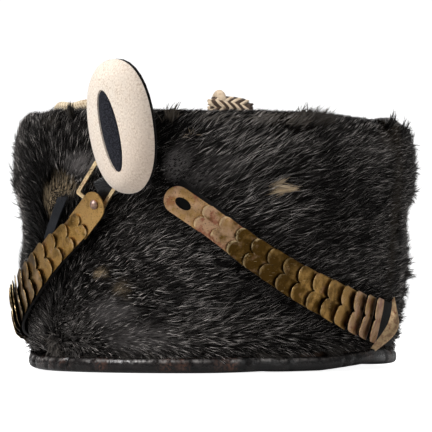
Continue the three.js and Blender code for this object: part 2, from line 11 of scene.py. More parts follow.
import bpy
import numpy as np
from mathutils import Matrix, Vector


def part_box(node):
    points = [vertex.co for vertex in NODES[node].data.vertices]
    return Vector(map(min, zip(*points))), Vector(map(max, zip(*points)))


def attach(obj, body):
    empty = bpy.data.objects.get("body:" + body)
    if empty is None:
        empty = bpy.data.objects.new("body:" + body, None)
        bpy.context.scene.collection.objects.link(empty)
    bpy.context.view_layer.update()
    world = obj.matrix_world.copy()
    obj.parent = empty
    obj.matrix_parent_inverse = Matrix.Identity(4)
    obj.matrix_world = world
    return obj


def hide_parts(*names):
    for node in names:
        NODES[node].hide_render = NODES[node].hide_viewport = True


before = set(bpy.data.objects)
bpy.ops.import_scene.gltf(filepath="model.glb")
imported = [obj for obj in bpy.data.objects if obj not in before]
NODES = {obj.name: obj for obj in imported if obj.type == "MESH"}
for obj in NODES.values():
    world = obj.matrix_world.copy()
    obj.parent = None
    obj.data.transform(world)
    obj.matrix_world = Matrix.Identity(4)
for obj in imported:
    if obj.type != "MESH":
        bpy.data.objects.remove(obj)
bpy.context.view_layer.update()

# %% [markdown]
# Loading leaves everything selected, and an operator works on all that is selected. So each step
# starts by deselecting, and then picks the one object that it means.

# %% Selection helpers
MM = 0.001


def deselect():
    """Leaves object mode with nothing selected."""
    if bpy.context.object and bpy.context.object.mode != "OBJECT":
        bpy.ops.object.mode_set(mode="OBJECT")
    bpy.ops.object.select_all(action="DESELECT")


def pick(piece):
    """Makes one object the only selected one, and the active one."""
    deselect()
    piece.select_set(True)
    bpy.context.view_layer.objects.active = piece


def apply_modifier(piece, kind, **settings):
    """Adds a modifier, sets it and applies it."""
    pick(piece)
    modifier = piece.modifiers.new(kind.lower(), kind)
    for name, value in settings.items():
        setattr(modifier, name, value)
    bpy.ops.object.modifier_apply(modifier=modifier.name)


def triangles(piece):
    return sum(len(p.vertices) - 2 for p in piece.data.polygons)


def points_of(piece):
    """A piece's points as an array."""
    return np.array([v.co for v in piece.data.vertices])


def faces_of(piece):
    return [tuple(p.vertices) for p in piece.data.polygons]


deselect()

# %% [markdown]
# ## The shape of the cap's wall
# The wall is an oval that flares a little on its way up, leans slightly, arches over the ears and
# stands highest near the front. One function gives any place on it from an angle, counted from the front
# towards the wearer's left, and a height. The fur, the scales and the binding all use it.

# %% The wall as a function
CAP_HEIGHT = 126.4 * MM
RIM_RISE, RIM_HIGHEST = 0.025, -15  # a share of the height, and the angle where the rim is highest
EAR_LIFT = 3.2 * MM
HALF_X, HALF_Y = 89.5 * MM, 107.5 * MM
FLARE, FLARE_FROM, FLARE_OVER = 10 * MM, 8 * MM, 95 * MM
LEAN_X, LEAN_Y = 0.0115, 0.006
BINDING_WIDEST = 3.6 * MM  # the height at which the binding stands out most

low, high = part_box("base_binding")
AXIS_X = (low.x + high.x) / 2 - LEAN_X * BINDING_WIDEST
AXIS_Y = (low.y + high.y) / 2 - LEAN_Y * BINDING_WIDEST


def rim_height(angle):
    """The height of the rim, which is highest a little to the wearer's right of the front."""
    return CAP_HEIGHT * (1 + RIM_RISE * np.cos(np.radians(angle - RIM_HIGHEST)))


def edge_lift(angle):
    """How far the lower edge arches over the ears."""
    return EAR_LIFT * np.clip(2 * np.abs(np.sin(np.radians(angle))) - 1, 0, 1) ** 2


def flare(height):
    """How much wider the wall is at a height than at its foot."""
    return FLARE * np.sin(math.pi / 2 * np.clip((height - FLARE_FROM) / FLARE_OVER, 0, 1))


def wall(angle, height, out=0.0):
    """Points on the outside of the fur, or `out` beyond it, from arrays of angles and heights."""
    angle, height, out = np.broadcast_arrays(
        np.asarray(angle, float), np.asarray(height, float), np.asarray(out, float)
    )
    spread = flare(height)
    turn = np.radians(angle)
    share = height / CAP_HEIGHT
    return np.stack(
        [
            AXIS_X + (HALF_X + spread + out) * np.sin(turn) + LEAN_X * height,
            AXIS_Y - (HALF_Y + spread + out) * np.cos(turn) + LEAN_Y * height,
            edge_lift(angle) * (1 - share) + rim_height(angle) * share,
        ],
        axis=-1,
    )


def unit(vectors):
    """The same directions, each of length 1."""
    return vectors / np.maximum(np.linalg.norm(vectors, axis=-1, keepdims=True), 1e-12)


print("axis at", round(AXIS_X, 5), round(AXIS_Y, 5))
print("wall's widest", wall(90, 0.11)[0].round(4), "fur's box", round(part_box("fur_cover")[1].x, 4))

# %% [markdown]
# ## Camera, floor and light
# The cap is looked at from the wearer's left front, almost level, with a long lens, so that its base
# and its rim both look nearly straight. A broad soft light hangs at the upper left, a weaker one
# fills from the right, and a third from above draws the glints along the hair. The floor and the
# backdrop are so pale that they read as one.

# %% Camera
VIEW_TURN = math.radians(27)
TO_CAMERA = Vector((math.sin(VIEW_TURN), -math.cos(VIEW_TURN), 0))
TO_RIGHT = Vector((math.cos(VIEW_TURN), math.sin(VIEW_TURN), 0))
UP = Vector((0, 0, 1))
AXIS = Vector((AXIS_X, AXIS_Y, 0))
CAMERA_DISTANCE, CAMERA_HEIGHT = 1.7, 0.05
FIELD_WIDTH = 0.2233  # what the picture's width takes in at the cap's axis
AIM_RIGHT, AIM_HEIGHT = 0.0013, 0.0782

bpy.ops.object.camera_add()
camera = bpy.context.object
camera.name = "camera"
camera.location = AXIS + TO_CAMERA * CAMERA_DISTANCE + TO_RIGHT * AIM_RIGHT + UP * CAMERA_HEIGHT
aim = AXIS + TO_RIGHT * AIM_RIGHT + UP * AIM_HEIGHT
camera.rotation_euler = (aim - camera.location).to_track_quat("-Z", "Y").to_euler()
camera.data.sensor_width = 36
camera.data.lens = 36 * CAMERA_DISTANCE / FIELD_WIDTH
camera.data.clip_start, camera.data.clip_end = 0.05, 50
bpy.context.scene.camera = camera
print("lens:", round(camera.data.lens, 1), "mm")

# %% Floor, backdrop and lights
FLOOR_SIZE, FLOOR_DROP = 12, 0.0002
FLOOR_COLOUR, WHITE = (0.6, 0.6, 0.6, 1), (1, 1, 1, 1)
FLOOR_GLOW = 0.95  # seen from the camera only, so that the floor doesn't light the cap from below

bpy.ops.mesh.primitive_plane_add(size=FLOOR_SIZE, location=(0, 0, -FLOOR_DROP))
floor = bpy.context.object
floor.name = "floor"
floor_finish = bpy.data.materials.new("pale_floor")
floor_finish.use_nodes = True
floor_shader = floor_finish.node_tree.nodes["Principled BSDF"]
floor_shader.inputs["Base Color"].default_value = FLOOR_COLOUR
floor_shader.inputs["Roughness"].default_value = 0.9
floor_shader.inputs["Emission Color"].default_value = WHITE
floor_seen = floor_finish.node_tree.nodes.new("ShaderNodeLightPath")
floor_glow = floor_finish.node_tree.nodes.new("ShaderNodeMath")
floor_glow.operation = "MULTIPLY"
floor_glow.inputs[1].default_value = FLOOR_GLOW
floor_links = floor_finish.node_tree.links
floor_links.new(floor_seen.outputs["Is Camera Ray"], floor_glow.inputs[0])
floor_links.new(floor_glow.outputs[0], floor_shader.inputs["Emission Strength"])
floor.data.materials.append(floor_finish)

BACKDROP_LIGHT, ROOM_LIGHT = 1.1, 0.2
world = bpy.data.worlds.new("white_room")
world.use_nodes = True
bpy.context.scene.world = world
backdrop, links = world.node_tree.nodes["Background"], world.node_tree.links
seen = world.node_tree.nodes.new("ShaderNodeLightPath")
brightness = world.node_tree.nodes.new("ShaderNodeMapRange")
brightness.inputs["To Min"].default_value = ROOM_LIGHT
brightness.inputs["To Max"].default_value = BACKDROP_LIGHT
links.new(seen.outputs["Is Camera Ray"], brightness.inputs["Value"])
links.new(brightness.outputs["Result"], backdrop.inputs["Strength"])
backdrop.inputs["Color"].default_value = WHITE

LIGHTS_AIM = 0.07  # the height on the cap's axis that every light points at
LIGHTS = [
    # name, right, towards the camera, up, side of the square, watts
    ("key", -0.95, 0.8, 0.9, 0.6, 17.5),
    ("fill", 1.1, 0.9, 0.5, 0.9, 2.8),
    ("top", 0.1, 0.15, 1.3, 0.8, 6.0),
    ("back", 0.2, -1.1, 0.8, 0.9, 6.0),
]
for name, right, near, above, side, watts in LIGHTS:
    place = AXIS + TO_RIGHT * right + TO_CAMERA * near + UP * above
    bpy.ops.object.light_add(type="AREA", location=place)
    lamp = bpy.context.object
    lamp.name = name
    lamp.data.size, lamp.data.energy = side, watts
    lamp.rotation_euler = (AXIS + UP * LIGHTS_AIM - place).to_track_quat("-Z", "Y").to_euler()
bpy.context.scene.view_settings.view_transform = "Standard"
bpy.context.scene.view_settings.look = "None"
print("lights:", [row[0] for row in LIGHTS])
deselect()

# %% [markdown]
# ## The cap line and its slide
# A round woollen cord, the cap line, lies on the crown and kept a real cap from being lost on
# horseback. It could be a plain curve with a round section, but a braided cord shows its strands even
# from afar. So it is a tube swept along its route, whose section swells where the strands cross.

# %% Route of the cap line
CORD_DIAMETER = 5.6 * MM
CORD_ROUTE = [
    # x, y and z in mm from the cap's own axis
    (36.7, -65.5, 134.1), (35.2, -62.6, 135.9), (33.6, -59.4, 136.4), (30.8, -53.9, 135),
    (27.6, -47.6, 131.2), (24.5, -41.4, 127.9), (19, -33, 126.9), (8.2, -16, 126.7), (-2.2, -6.7, 126.4),
    (-16.1, -5.9, 126.6), (-23.6, -17.6, 126.9), (-21.2, -33.3, 127.2), (-11.5, -50.5, 127.5),
    (-2.5, -67, 127.8), (3, -79, 128.4), (4.2, -90.5, 130), (-3, -99.3, 131.5), (-18.6, -100, 131.7),
    (-30.2, -94, 130.6), (-40, -88.2, 131.5), (-47, -78, 129.8), (-52.5, -64.5, 128), (-59.1, -47, 127.4),
    (-66.4, -28.2, 126.9), (-68.4, -6.8, 126.4), (-60, 12.1, 126), (-44.9, 26.5, 125.6),
    (-23.5, 35.2, 125.4), (-4.7, 31.3, 125.4), (9.7, 16.2, 125.8), (22, -5.6, 126.2), (32.4, -28.4, 126.6),
    (40.6, -46.6, 127), (44.2, -54.6, 128.3), (46.2, -59.1, 129),
]
CORD_STEP = 0.62 * MM


def lengths_along(path):
    """How far along a path each of its points is."""
    return np.concatenate([[0], np.cumsum(np.linalg.norm(np.diff(path, axis=0), axis=1))])


def smooth_line(points, step):
    """A smooth line through points, as places about `step` apart."""
    curve = bpy.data.curves.new("line", "CURVE")
    curve.dimensions = "3D"
    spline = curve.splines.new("BEZIER")
    spline.bezier_points.add(len(points) - 1)
    for knot, point in zip(spline.bezier_points, points):
        knot.co = point
        knot.handle_left_type = knot.handle_right_type = "AUTO"
    curve.resolution_u = 24
    holder = bpy.data.objects.new("line", curve)
    bpy.context.scene.collection.objects.link(holder)
    bpy.context.view_layer.update()
    drawn = holder.to_mesh()
    fine = np.array([v.co for v in drawn.vertices])
    holder.to_mesh_clear()
    bpy.data.objects.remove(holder)
    along = lengths_along(fine)
    wanted = np.linspace(0, along[-1], max(2, round(along[-1] / step)) + 1)
    return np.stack([np.interp(wanted, along, fine[:, k]) for k in range(3)], axis=1), along[-1]


cap_axis = np.array([AXIS_X, AXIS_Y, 0])
cord_path, CORD_LENGTH = smooth_line(np.array(CORD_ROUTE) * MM + cap_axis, CORD_STEP)
print("cap line:", round(CORD_LENGTH, 4), "m")


# %% The cap line
def new_piece(name, vertices, faces):
    """An object of its own at the origin, from points and faces."""
    mesh = bpy.data.meshes.new(name)
    mesh.from_pydata(np.asarray(vertices, float).tolist(), [], [list(map(int, face)) for face in faces])
    piece = bpy.data.objects.new(name, mesh)
    bpy.context.scene.collection.objects.link(piece)
    return piece


def store(piece, name, values):
    """Keeps one number for each point, for the material to read."""
    kept = piece.data.attributes.new(name, "FLOAT", "POINT")
    kept.data.foreach_set("value", np.asarray(values, np.float32))


def smooth(piece):
    """Shades a piece smoothly, and says how big it is."""
    pick(piece)
    bpy.ops.object.shade_smooth()
    print(piece.name, triangles(piece), "triangles")


def swept(path, sides, radius):
    """A closed tube along a path. radius(turn, length) gives the section's radius at each place."""
    along = lengths_along(path)
    heading = unit(np.gradient(path, axis=0))
    side = unit(np.cross(heading[0], (0, 0, 1)))
    turns = np.linspace(0, 2 * math.pi, sides, endpoint=False)
    rings = []
    for place, ahead, length in zip(path, heading, along):
        side = unit(side - ahead * (side @ ahead))
        other = np.cross(ahead, side)
        reach = radius(turns, length)[:, None]
        rings.append(place + reach * (np.cos(turns)[:, None] * side + np.sin(turns)[:, None] * other))
    count = len(path)
    faces = []
    for i in range(count - 1):
        for j in range(sides):
            k = (j + 1) % sides
            faces.append((i * sides + j, i * sides + k, (i + 1) * sides + k, (i + 1) * sides + j))
    faces.append(range(sides)[::-1])
    faces.append(range((count - 1) * sides, count * sides))
    return np.concatenate(rings), faces, np.repeat(along, sides), np.tile(turns, count)


STRANDS, LAY = 4, 7.5 * MM  # strands each way round the braid, and the length of one whole turn
CORD_SIDES = 24


def braid_radius(turn, length):
    """The cord's radius, which swells where a strand lies uppermost."""
    one_way = np.cos(STRANDS * turn + STRANDS * 2 * math.pi * length / LAY)
    other_way = np.cos(STRANDS * turn - STRANDS * 2 * math.pi * length / LAY)
    return CORD_DIAMETER / 2 * (0.9 + 0.1 * np.maximum(one_way, other_way))


points, faces, lengths, turns = swept(cord_path, CORD_SIDES, braid_radius)
cap_line = new_piece("braided_cap_line", points, faces)
# how deep in a hollow each point lies, for the painted shade between the strands
store(cap_line, "painted_hollow_shade", 1 - (braid_radius(turns, lengths) / (CORD_DIAMETER / 2) - 0.8) / 0.2)
smooth(cap_line)

# %% [markdown]
# The slide through which the cord runs is worked in two colours. Its stitches make rows of chevrons. One
# stitch is a small squashed ball. It is copied round and along the slide, leaning one way and then
# the other, so the light catches real stitches instead of a painted pattern.

# %% The slide
low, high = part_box("cap_line_slide")
SLIDE_TURN = math.radians(27)
SLIDE_RADIUS = (high.z - low.z) / 2
SLIDE_LENGTH = 24 * MM
SLIDE_CENTRE = np.array((low + high) / 2)
SLIDE_AHEAD = np.array((math.cos(SLIDE_TURN), math.sin(SLIDE_TURN), 0))
SLIDE_SIDE = np.array((-math.sin(SLIDE_TURN), math.cos(SLIDE_TURN), 0))
WALES, COURSES = 5, 10
SLIDE_SUNK = 2.4 * MM
STITCH_LEAN, STITCH_SIZE = math.radians(38), (3.5 * MM, 1.15 * MM, 0.85 * MM)
UPWARD = np.array((0, 0, 1))

deselect()
bpy.ops.mesh.primitive_uv_sphere_add(segments=10, ring_count=6, radius=1)
stitch = bpy.context.object
bpy.ops.object.mode_set(mode="EDIT")
bpy.ops.mesh.select_all(action="SELECT")
bpy.ops.transform.resize(value=STITCH_SIZE)
bpy.ops.object.mode_set(mode="OBJECT")
stitch_points = points_of(stitch)
stitch_faces = sorted(faces_of(stitch))  # Blender may list them in another order in each run
bpy.data.objects.remove(stitch)

random = np.random.default_rng(3)
vertices, faces, dark = [], [], []
for course in range(COURSES):
    share = (course + 0.5) / COURSES
    end = abs(2 * share - 1)
    radius = (SLIDE_RADIUS - 0.7 * MM) * (1 - 0.5 * max(0, end - 0.6) ** 1.6 / 0.4**1.6)
    sunk = SLIDE_SUNK * share**2  # its outer end sinks in the fur
    for column in range(2 * WALES):
        around = (column + 0.5) * math.pi / WALES + random.normal(0, 0.03)
        out = SLIDE_SIDE * math.cos(around) + UPWARD * math.sin(around)
        across = np.cross(out, SLIDE_AHEAD)
        lean = STITCH_LEAN * (1 if column % 2 else -1) + random.normal(0, 0.07)
        ahead = SLIDE_AHEAD * math.cos(lean) + across * math.sin(lean)
        basis = np.stack([ahead, np.cross(out, ahead), out])
        place = SLIDE_CENTRE + SLIDE_AHEAD * (share - 0.5) * (SLIDE_LENGTH - 5 * MM)
        place = place + out * radius - [0, 0, sunk]
        faces += [[i + len(vertices) * len(stitch_points) for i in face] for face in stitch_faces]
        vertices.append(place + stitch_points * random.uniform(0.92, 1.08) @ basis)
        dark += [course % 2] * len(stitch_points)
slide = new_piece("knitted_slide", np.concatenate(vertices), faces)
store(slide, "dark", dark)
smooth(slide)

# %% The slide's core and the strand round it
CORE_RADIUS, CORE_LENGTH = SLIDE_RADIUS - 1.5 * MM, SLIDE_LENGTH - 4 * MM
CORE_TILT = 0.1

deselect()
bpy.ops.mesh.primitive_cylinder_add(vertices=24, radius=CORE_RADIUS, depth=CORE_LENGTH)
slide_core = bpy.context.object
slide_core.name = "slide_core"
slide_core.rotation_euler = (0, math.pi / 2 + CORE_TILT, SLIDE_TURN)
slide_core.location = SLIDE_CENTRE - [0, 0, SLIDE_SUNK * 0.35]
bpy.ops.object.transform_apply(location=True, rotation=True, scale=True)
apply_modifier(slide_core, "BEVEL", width=1.6 * MM, segments=3, limit_method="ANGLE")
store(slide_core, "dark", [1] * len(slide_core.data.vertices))

# a cream strand is laid over the slide near its inner end, and holds it shut
WRAP_FROM, WRAP_TO = -9 * MM, -3 * MM  # along the slide, from behind it to its front
WRAP_STEPS = 40
WRAP_START, WRAP_STOP = 190, 28  # degrees round the slide
WRAP_RADIUS, YARNS, YARN_LAY = 2.5 * MM, 3, 1.5 * MM
wrap_turns = np.radians(np.linspace(WRAP_START, WRAP_STOP, WRAP_STEPS))[:, None]
tucked = 4 * MM * np.clip(np.linspace(-1.5, 1, WRAP_STEPS), 0, 1)[:, None] ** 1.3  # its end dives in
drift = np.linspace(WRAP_FROM, WRAP_TO, WRAP_STEPS)[:, None]
round_slide = np.cos(wrap_turns) * -SLIDE_SIDE + np.sin(wrap_turns) * UPWARD
wrap_path = SLIDE_CENTRE + drift * SLIDE_AHEAD + round_slide * (SLIDE_RADIUS + 0.5 * MM - tucked)


def strand_radius(turn, length):
    """The strand's radius, ridged along the turns of its yarns."""
    return WRAP_RADIUS * (0.86 + 0.14 * np.abs(np.cos(YARNS / 2 * turn + length / YARN_LAY)))


points, faces, lengths, turns = swept(wrap_path, 16, strand_radius)
slide_wrap = new_piece("slide_wrap", points, faces)
store(slide_wrap, "dark", [0] * len(points))
smooth(slide_wrap)

slide_pieces = [slide, slide_core, slide_wrap]
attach(cap_line, "root")
for piece in slide_pieces:
    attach(piece, "root")
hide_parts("cap_line")
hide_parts("cap_line_slide")
deselect()

# %% [markdown]
# ## Finishes
# All finishes are made of nodes. A small helper keeps them readable: it holds a material's tree, adds
# nodes to it and joins them. Effects that several finishes share are node groups, which put out only
# colours, masks and normals. The shader itself stays in each material, with its plain numbers on its own
# sockets.

# %% A helper for node trees
class NodeDesk:
    """A node tree with short ways to add nodes, each of which gives back its first output."""

    def __init__(self, tree):
        self.nodes, self.links = tree.nodes, tree.links
        self.shader = tree.nodes.get("Principled BSDF")

    def add(self, kind, inputs=(), **settings):
        node = self.nodes.new(kind)
        for name, value in settings.items():
            setattr(node, name, value)
        for socket, value in dict(inputs).items():
            self.feed(node.inputs[socket], value)
        return node

    def feed(self, socket, value):
        if isinstance(value, bpy.types.NodeSocket):
            self.links.new(value, socket)
        elif isinstance(value, tuple) and len(socket.default_value) == 4:
            socket.default_value = (*value[:3], 1)
        else:
            socket.default_value = value

    def attribute(self, name):
        return self.add("ShaderNodeAttribute", attribute_name=name).outputs["Fac"]

    def place(self):
        return self.add("ShaderNodeTexCoord").outputs["Object"]

    def noise(self, scale, detail=3.0, place=None):
        vector = place or self.place()
        inputs = {"Vector": vector, "Scale": scale, "Detail": detail}
        return self.add("ShaderNodeTexNoise", inputs).outputs["Fac"]

    def stretched(self, scale):
        inputs = {"Vector": self.place(), "Scale": scale}
        return self.add("ShaderNodeMapping", inputs).outputs["Vector"]

    def span(self, value, low, high, to_low=0.0, to_high=1.0):
        inputs = {"Value": value, "From Min": low, "From Max": high, "To Min": to_low, "To Max": to_high}
        return self.add("ShaderNodeMapRange", inputs).outputs["Result"]

    def blend(self, amount, first, second, how="MIX"):
        node = self.add("ShaderNodeMix", {0: amount, 6: first, 7: second}, data_type="RGBA", blend_type=how)
        return node.outputs[2]

    def sum(self, operation, first, second):
        return self.add("ShaderNodeMath", {0: first, 1: second}, operation=operation).outputs[0]

    def bump(self, height, strength, depth):
        inputs = {"Height": height, "Strength": strength, "Distance": depth}
        return self.add("ShaderNodeBump", inputs).outputs["Normal"]

    def dress(self, colour, normal=None):
        """Gives the shader its colour and the unevenness of its surface."""
        self.feed(self.shader.inputs["Base Color"], colour)
        if normal is not None:
            self.feed(self.shader.inputs["Normal"], normal)


def new_finish(name, roughness, metallic=0.0, **constants):
    """A material and its desk. Constants are set on the shader's own sockets."""
    material = bpy.data.materials.new(name)
    material.use_nodes = True
    desk = NodeDesk(material.node_tree)
    for socket, value in {"Roughness": roughness, "Metallic": metallic, **constants}.items():
        desk.shader.inputs[socket.replace("_", " ")].default_value = value
    return material, desk


# %% [markdown]
# Old things are never one colour. "Mottling" lets one colour cloud over into another in soft
# patches. "Fine grain" is the small unevenness of a surface at the size of leather pores, cast
# brass or felt, given out as a normal.

# %% Shared effects
def new_group(name, inputs, outputs):
    """An empty node group with named sockets, and its desk, input node and output node."""
    group = bpy.data.node_groups.new(name, "ShaderNodeTree")
    for socket, kind, value in inputs:
        made = group.interface.new_socket(socket, in_out="INPUT", socket_type=kind)
        made.default_value = value
    for socket, kind in outputs:
        group.interface.new_socket(socket, in_out="OUTPUT", socket_type=kind)
    desk = NodeDesk(group)
    return group, desk, desk.add("NodeGroupInput"), desk.add("NodeGroupOutput")


MOTTLING, desk, given, result = new_group(
    "mottling",
    [
        ("First", "NodeSocketColor", (0.5, 0.5, 0.5, 1)),
        ("Second", "NodeSocketColor", (0.2, 0.2, 0.2, 1)),
        ("Scale", "NodeSocketFloat", 60.0),
        ("From", "NodeSocketFloat", 0.4),
        ("To", "NodeSocketFloat", 0.6),
    ],
    [("Color", "NodeSocketColor"), ("Mask", "NodeSocketFloat")],
)
patches = desk.span(desk.noise(given.outputs["Scale"], 4.0), given.outputs["From"], given.outputs["To"])
desk.feed(result.inputs["Mask"], patches)
desk.feed(result.inputs["Color"], desk.blend(patches, given.outputs["First"], given.outputs["Second"]))

FINE_GRAIN, desk, given, result = new_group(
    "fine_grain",
    [
        ("Scale", "NodeSocketFloat", 900.0),
        ("Strength", "NodeSocketFloat", 0.3),
        ("Depth", "NodeSocketFloat", 0.0003),
    ],
    [("Normal", "NodeSocketVector")],
)
pores = desk.add("ShaderNodeTexVoronoi", {"Vector": desk.place(), "Scale": given.outputs["Scale"]})
uneven = desk.sum("ADD", pores.outputs["Distance"], desk.noise(given.outputs["Scale"], 2.0))
pitted = desk.bump(uneven, given.outputs["Strength"], given.outputs["Depth"])
desk.feed(result.inputs["Normal"], pitted)
print("shared effects:", MOTTLING.name, FINE_GRAIN.name)


def mottled(desk, first, second, scale, start, end):
    """One colour that clouds over into another, where noise runs from start to end."""
    inputs = {"First": first, "Second": second, "Scale": scale, "From": start, "To": end}
    return desk.add("ShaderNodeGroup", inputs, node_tree=MOTTLING).outputs["Color"]


def grained(desk, scale, strength, depth):
    """A finely uneven surface, as a normal."""
    inputs = {"Scale": scale, "Strength": strength, "Depth": depth}
    return desk.add("ShaderNodeGroup", inputs, node_tree=FINE_GRAIN).outputs["Normal"]


# %% [markdown]
# Wool is dull and a little fuzzy: high roughness and a soft sheen. The hollows between the cord's
# strands get painted shade. The slide's stitches are cream or dark brown by turns.

# %% Wool finishes
CREAM, CREAM_SHADE = (0.7, 0.55, 0.39), (0.4, 0.26, 0.15)
BROWN, BROWN_SHADE = (0.05, 0.026, 0.013), (0.15, 0.08, 0.04)
STRAND, PAINTED_SHADE_BETWEEN_STRANDS = (0.84, 0.71, 0.5), (0.36, 0.24, 0.13)

CORD_FINISH, desk = new_finish("cord_wool", 0.9, Sheen_Weight=0.25)
# painted shade: the strands' colour darkens towards the hollows between them
strands = desk.blend(desk.span(desk.attribute("painted_hollow_shade"), 0.1, 0.7), STRAND, PAINTED_SHADE_BETWEEN_STRANDS)
desk.dress(mottled(desk, strands, CREAM_SHADE, 300.0, 0.5, 0.85), grained(desk, 2600.0, 0.4, 0.0003))
cap_line.data.materials.append(CORD_FINISH)

SLIDE_FINISH, desk = new_finish("slide_wool", 0.9, Sheen_Weight=0.2)
cream = mottled(desk, CREAM, CREAM_SHADE, 500.0, 0.5, 0.8)
brown = mottled(desk, BROWN, BROWN_SHADE, 500.0, 0.5, 0.8)
desk.dress(desk.blend(desk.attribute("dark"), cream, brown), grained(desk, 2600.0, 0.4, 0.0003))
for piece in slide_pieces:
    piece.data.materials.append(SLIDE_FINISH)
print("wool finishes:", CORD_FINISH.name, SLIDE_FINISH.name)

# %% [markdown]
# ## The pelt
# The fur is most of what is seen, so it gets the most work. A real pelt has two kinds of hair: short
# soft underfur, which fills and darkens it, and longer stiff guard hairs, which catch the light. They
# gather in small locks whose tips meet, and dark clefts show between the locks. Particle hair would
# not be part of the meshes, so each hair is a thin tapering ribbon of one, three or five faces, and
# a few hundred thousand of them are joined in a few meshes.
#
# Places on the pelt are given by two lengths: `around`, along the cap's girth from the front centre, and
# `along`, up the wall, over the rim and in towards the crown.

# %% Places on the pelt
PELT_PROFILE = [
    # height in mm, how far out from the wall in mm
    (7.7, 0), (24, 0), (84, 0), (104.9, 0), (113.9, -0.8), (120.4, -2.8), (124.5, -5.4),
    (126.4, -8.5), (125.8, -12), (123.2, -15),
]
PROFILE_STEP = 0.5 * MM
ROUNDING = 9  # steps that the profile's corners are averaged over

rows = np.array(PELT_PROFILE) * MM
chord = np.concatenate([[0], np.cumsum(np.hypot(*np.diff(rows, axis=0).T))])
PELT_LENGTH = chord[-1]
steps = np.arange(0, PELT_LENGTH, PROFILE_STEP)
kernel = np.ones(ROUNDING) / ROUNDING
smooth_rows = []
for column in rows.T:
    values = np.interp(steps, chord, column)
    padded = np.pad(values, ROUNDING // 2, mode="reflect", reflect_type="odd")
    smooth_rows.append(np.convolve(padded, kernel, mode="valid"))
PELT_HEIGHT, PELT_OUT = smooth_rows

whole_turn = np.linspace(-180, 180, 721)
girth_table = lengths_along(wall(whole_turn, CAP_HEIGHT / 2))
GIRTH = girth_table[-1]
girth_table -= GIRTH / 2
HIGHEST = int(np.argmax(PELT_HEIGHT))  # the step at which the profile turns over the rim


def short_way(apart):
    """A length round the girth, from minus half the girth to half of it."""
    return (apart + GIRTH / 2) % GIRTH - GIRTH / 2


def to_round(angle):
    """Length along the girth from the front centre, of an angle in degrees."""
    return np.interp((np.asarray(angle, float) + 180) % 360 - 180, whole_turn, girth_table)


def to_angle(around):
    """The angle in degrees, of a length along the girth."""
    return np.interp(short_way(around), girth_table, whole_turn)


def to_along(height):
    """Length along the pelt, of a height on the wall below the rim."""
    return np.interp(height, PELT_HEIGHT[:HIGHEST], steps[:HIGHEST])


def pelt(around, along):
    """A point on the pelt's outer form."""
    angle = to_angle(around)
    along = np.clip(along, 0, steps[-1])
    return wall(angle, np.interp(along, steps, PELT_HEIGHT), np.interp(along, steps, PELT_OUT))


def pelt_frame(around, along):
    """Points on the pelt, with the directions out of it, round it and up it."""
    tiny = 0.4 * MM
    here = pelt(around, along)
    right = unit(pelt(around + tiny, along) - pelt(around - tiny, along))
    up = unit(pelt(around, along + tiny) - pelt(around, along - tiny))
    out = unit(np.cross(right, up))
    return here, out, right, unit(np.cross(out, right))


print("girth", round(GIRTH, 3), "m, pelt", round(PELT_LENGTH, 3), "m from foot to crown")

# %% [markdown]
# The way the hair lies is charted: at a few places on the pelt, the direction it points in
# (degrees up from level, towards the wearer's left), how steeply it stands, how long it is and how grey
# it looks. Between those places it is a mean, in which the nearest ones count most.

# %% How the hair lies
HAIR_CHART = [
    # angle, height mm, points to, stands, length mm, grey
    (-34, 112, 128, 22, 8, 0.44), (-34, 84, 165, 12, 7, 0.3), (-34, 56, 165, 8, 7, 0.3),
    (-34, 26, 140, 26, 8, 0.34),
    (-20, 112, 62, 20, 9, 0.5), (-10, 92, 48, 18, 9, 0.36), (-20, 82, 75, 22, 8, 0.22),
    (-17, 60, 50, 20, 9, 0.16), (-22, 22, 12, 22, 8, 0.4), (-8, 40, 16, 18, 9, 0.34),
    (0, 66, 28, 16, 11, 0.4), (4, 40, 10, 16, 9, 0.44), (8, 16, 18, 15, 8, 0.5),
    (14, 84, 34, 16, 11, 0.32), (16, 58, 18, 16, 11, 0.46), (18, 116, 36, 16, 10, 0.36),
    (28, 110, 36, 17, 12, 0.46), (27, 45, 16, 16, 10, 0.46), (38, 96, 38, 17, 13, 0.44),
    (33, 24, 22, 16, 10, 0.52), (45, 112, 38, 17, 12, 0.46), (50, 78, 24, 18, 12, 0.4),
    (48, 22, 22, 16, 10, 0.5), (60, 114, 36, 18, 10, 0.46), (62, 84, 18, 20, 10, 0.34),
    (60, 14, 18, 16, 9, 0.44), (74, 100, 26, 20, 9, 0.46), (76, 62, 30, 20, 9, 0.4),
    (90, 108, 14, 30, 8, 0.5), (92, 74, 12, 14, 7, 0.44), (92, 30, 24, 26, 8, 0.42),
    (74, 10, 18, 18, 8, 0.4), (125, 100, 20, 24, 10, 0.42), (125, 30, 15, 22, 10, 0.4),
    (175, 100, 34, 22, 11, 0.42), (180, 30, 20, 20, 11, 0.4), (-130, 90, 150, 24, 11, 0.42),
    (-130, 25, 165, 22, 10, 0.4), (-80, 100, 150, 20, 9, 0.42), (-80, 50, 160, 28, 9, 0.38),
    (-70, 15, 150, 26, 8, 0.36),
]
RIM_SHARE = (to_along(112 * MM), to_along(124 * MM))  # where the wall's hair passes over to the rim's
RIM_LENGTH, RIM_STANDS = 5.5 * MM, 5
FOOT_LENGTH, FOOT_STANDS, FOOT_TURN = 6 * MM, 12, 55  # hair at the foot turns down over the binding
FOOT_HEIGHT = 12 * MM
FALLOFF, FALLOFF_REACH = 2.6, 20 * MM  # how fast a charted place loses its hold, and over what length


def rim_share(along):
    """From 0 on the wall to 1 at the rim."""
    return np.clip((along - RIM_SHARE[0]) / (RIM_SHARE[1] - RIM_SHARE[0]), 0, 1)


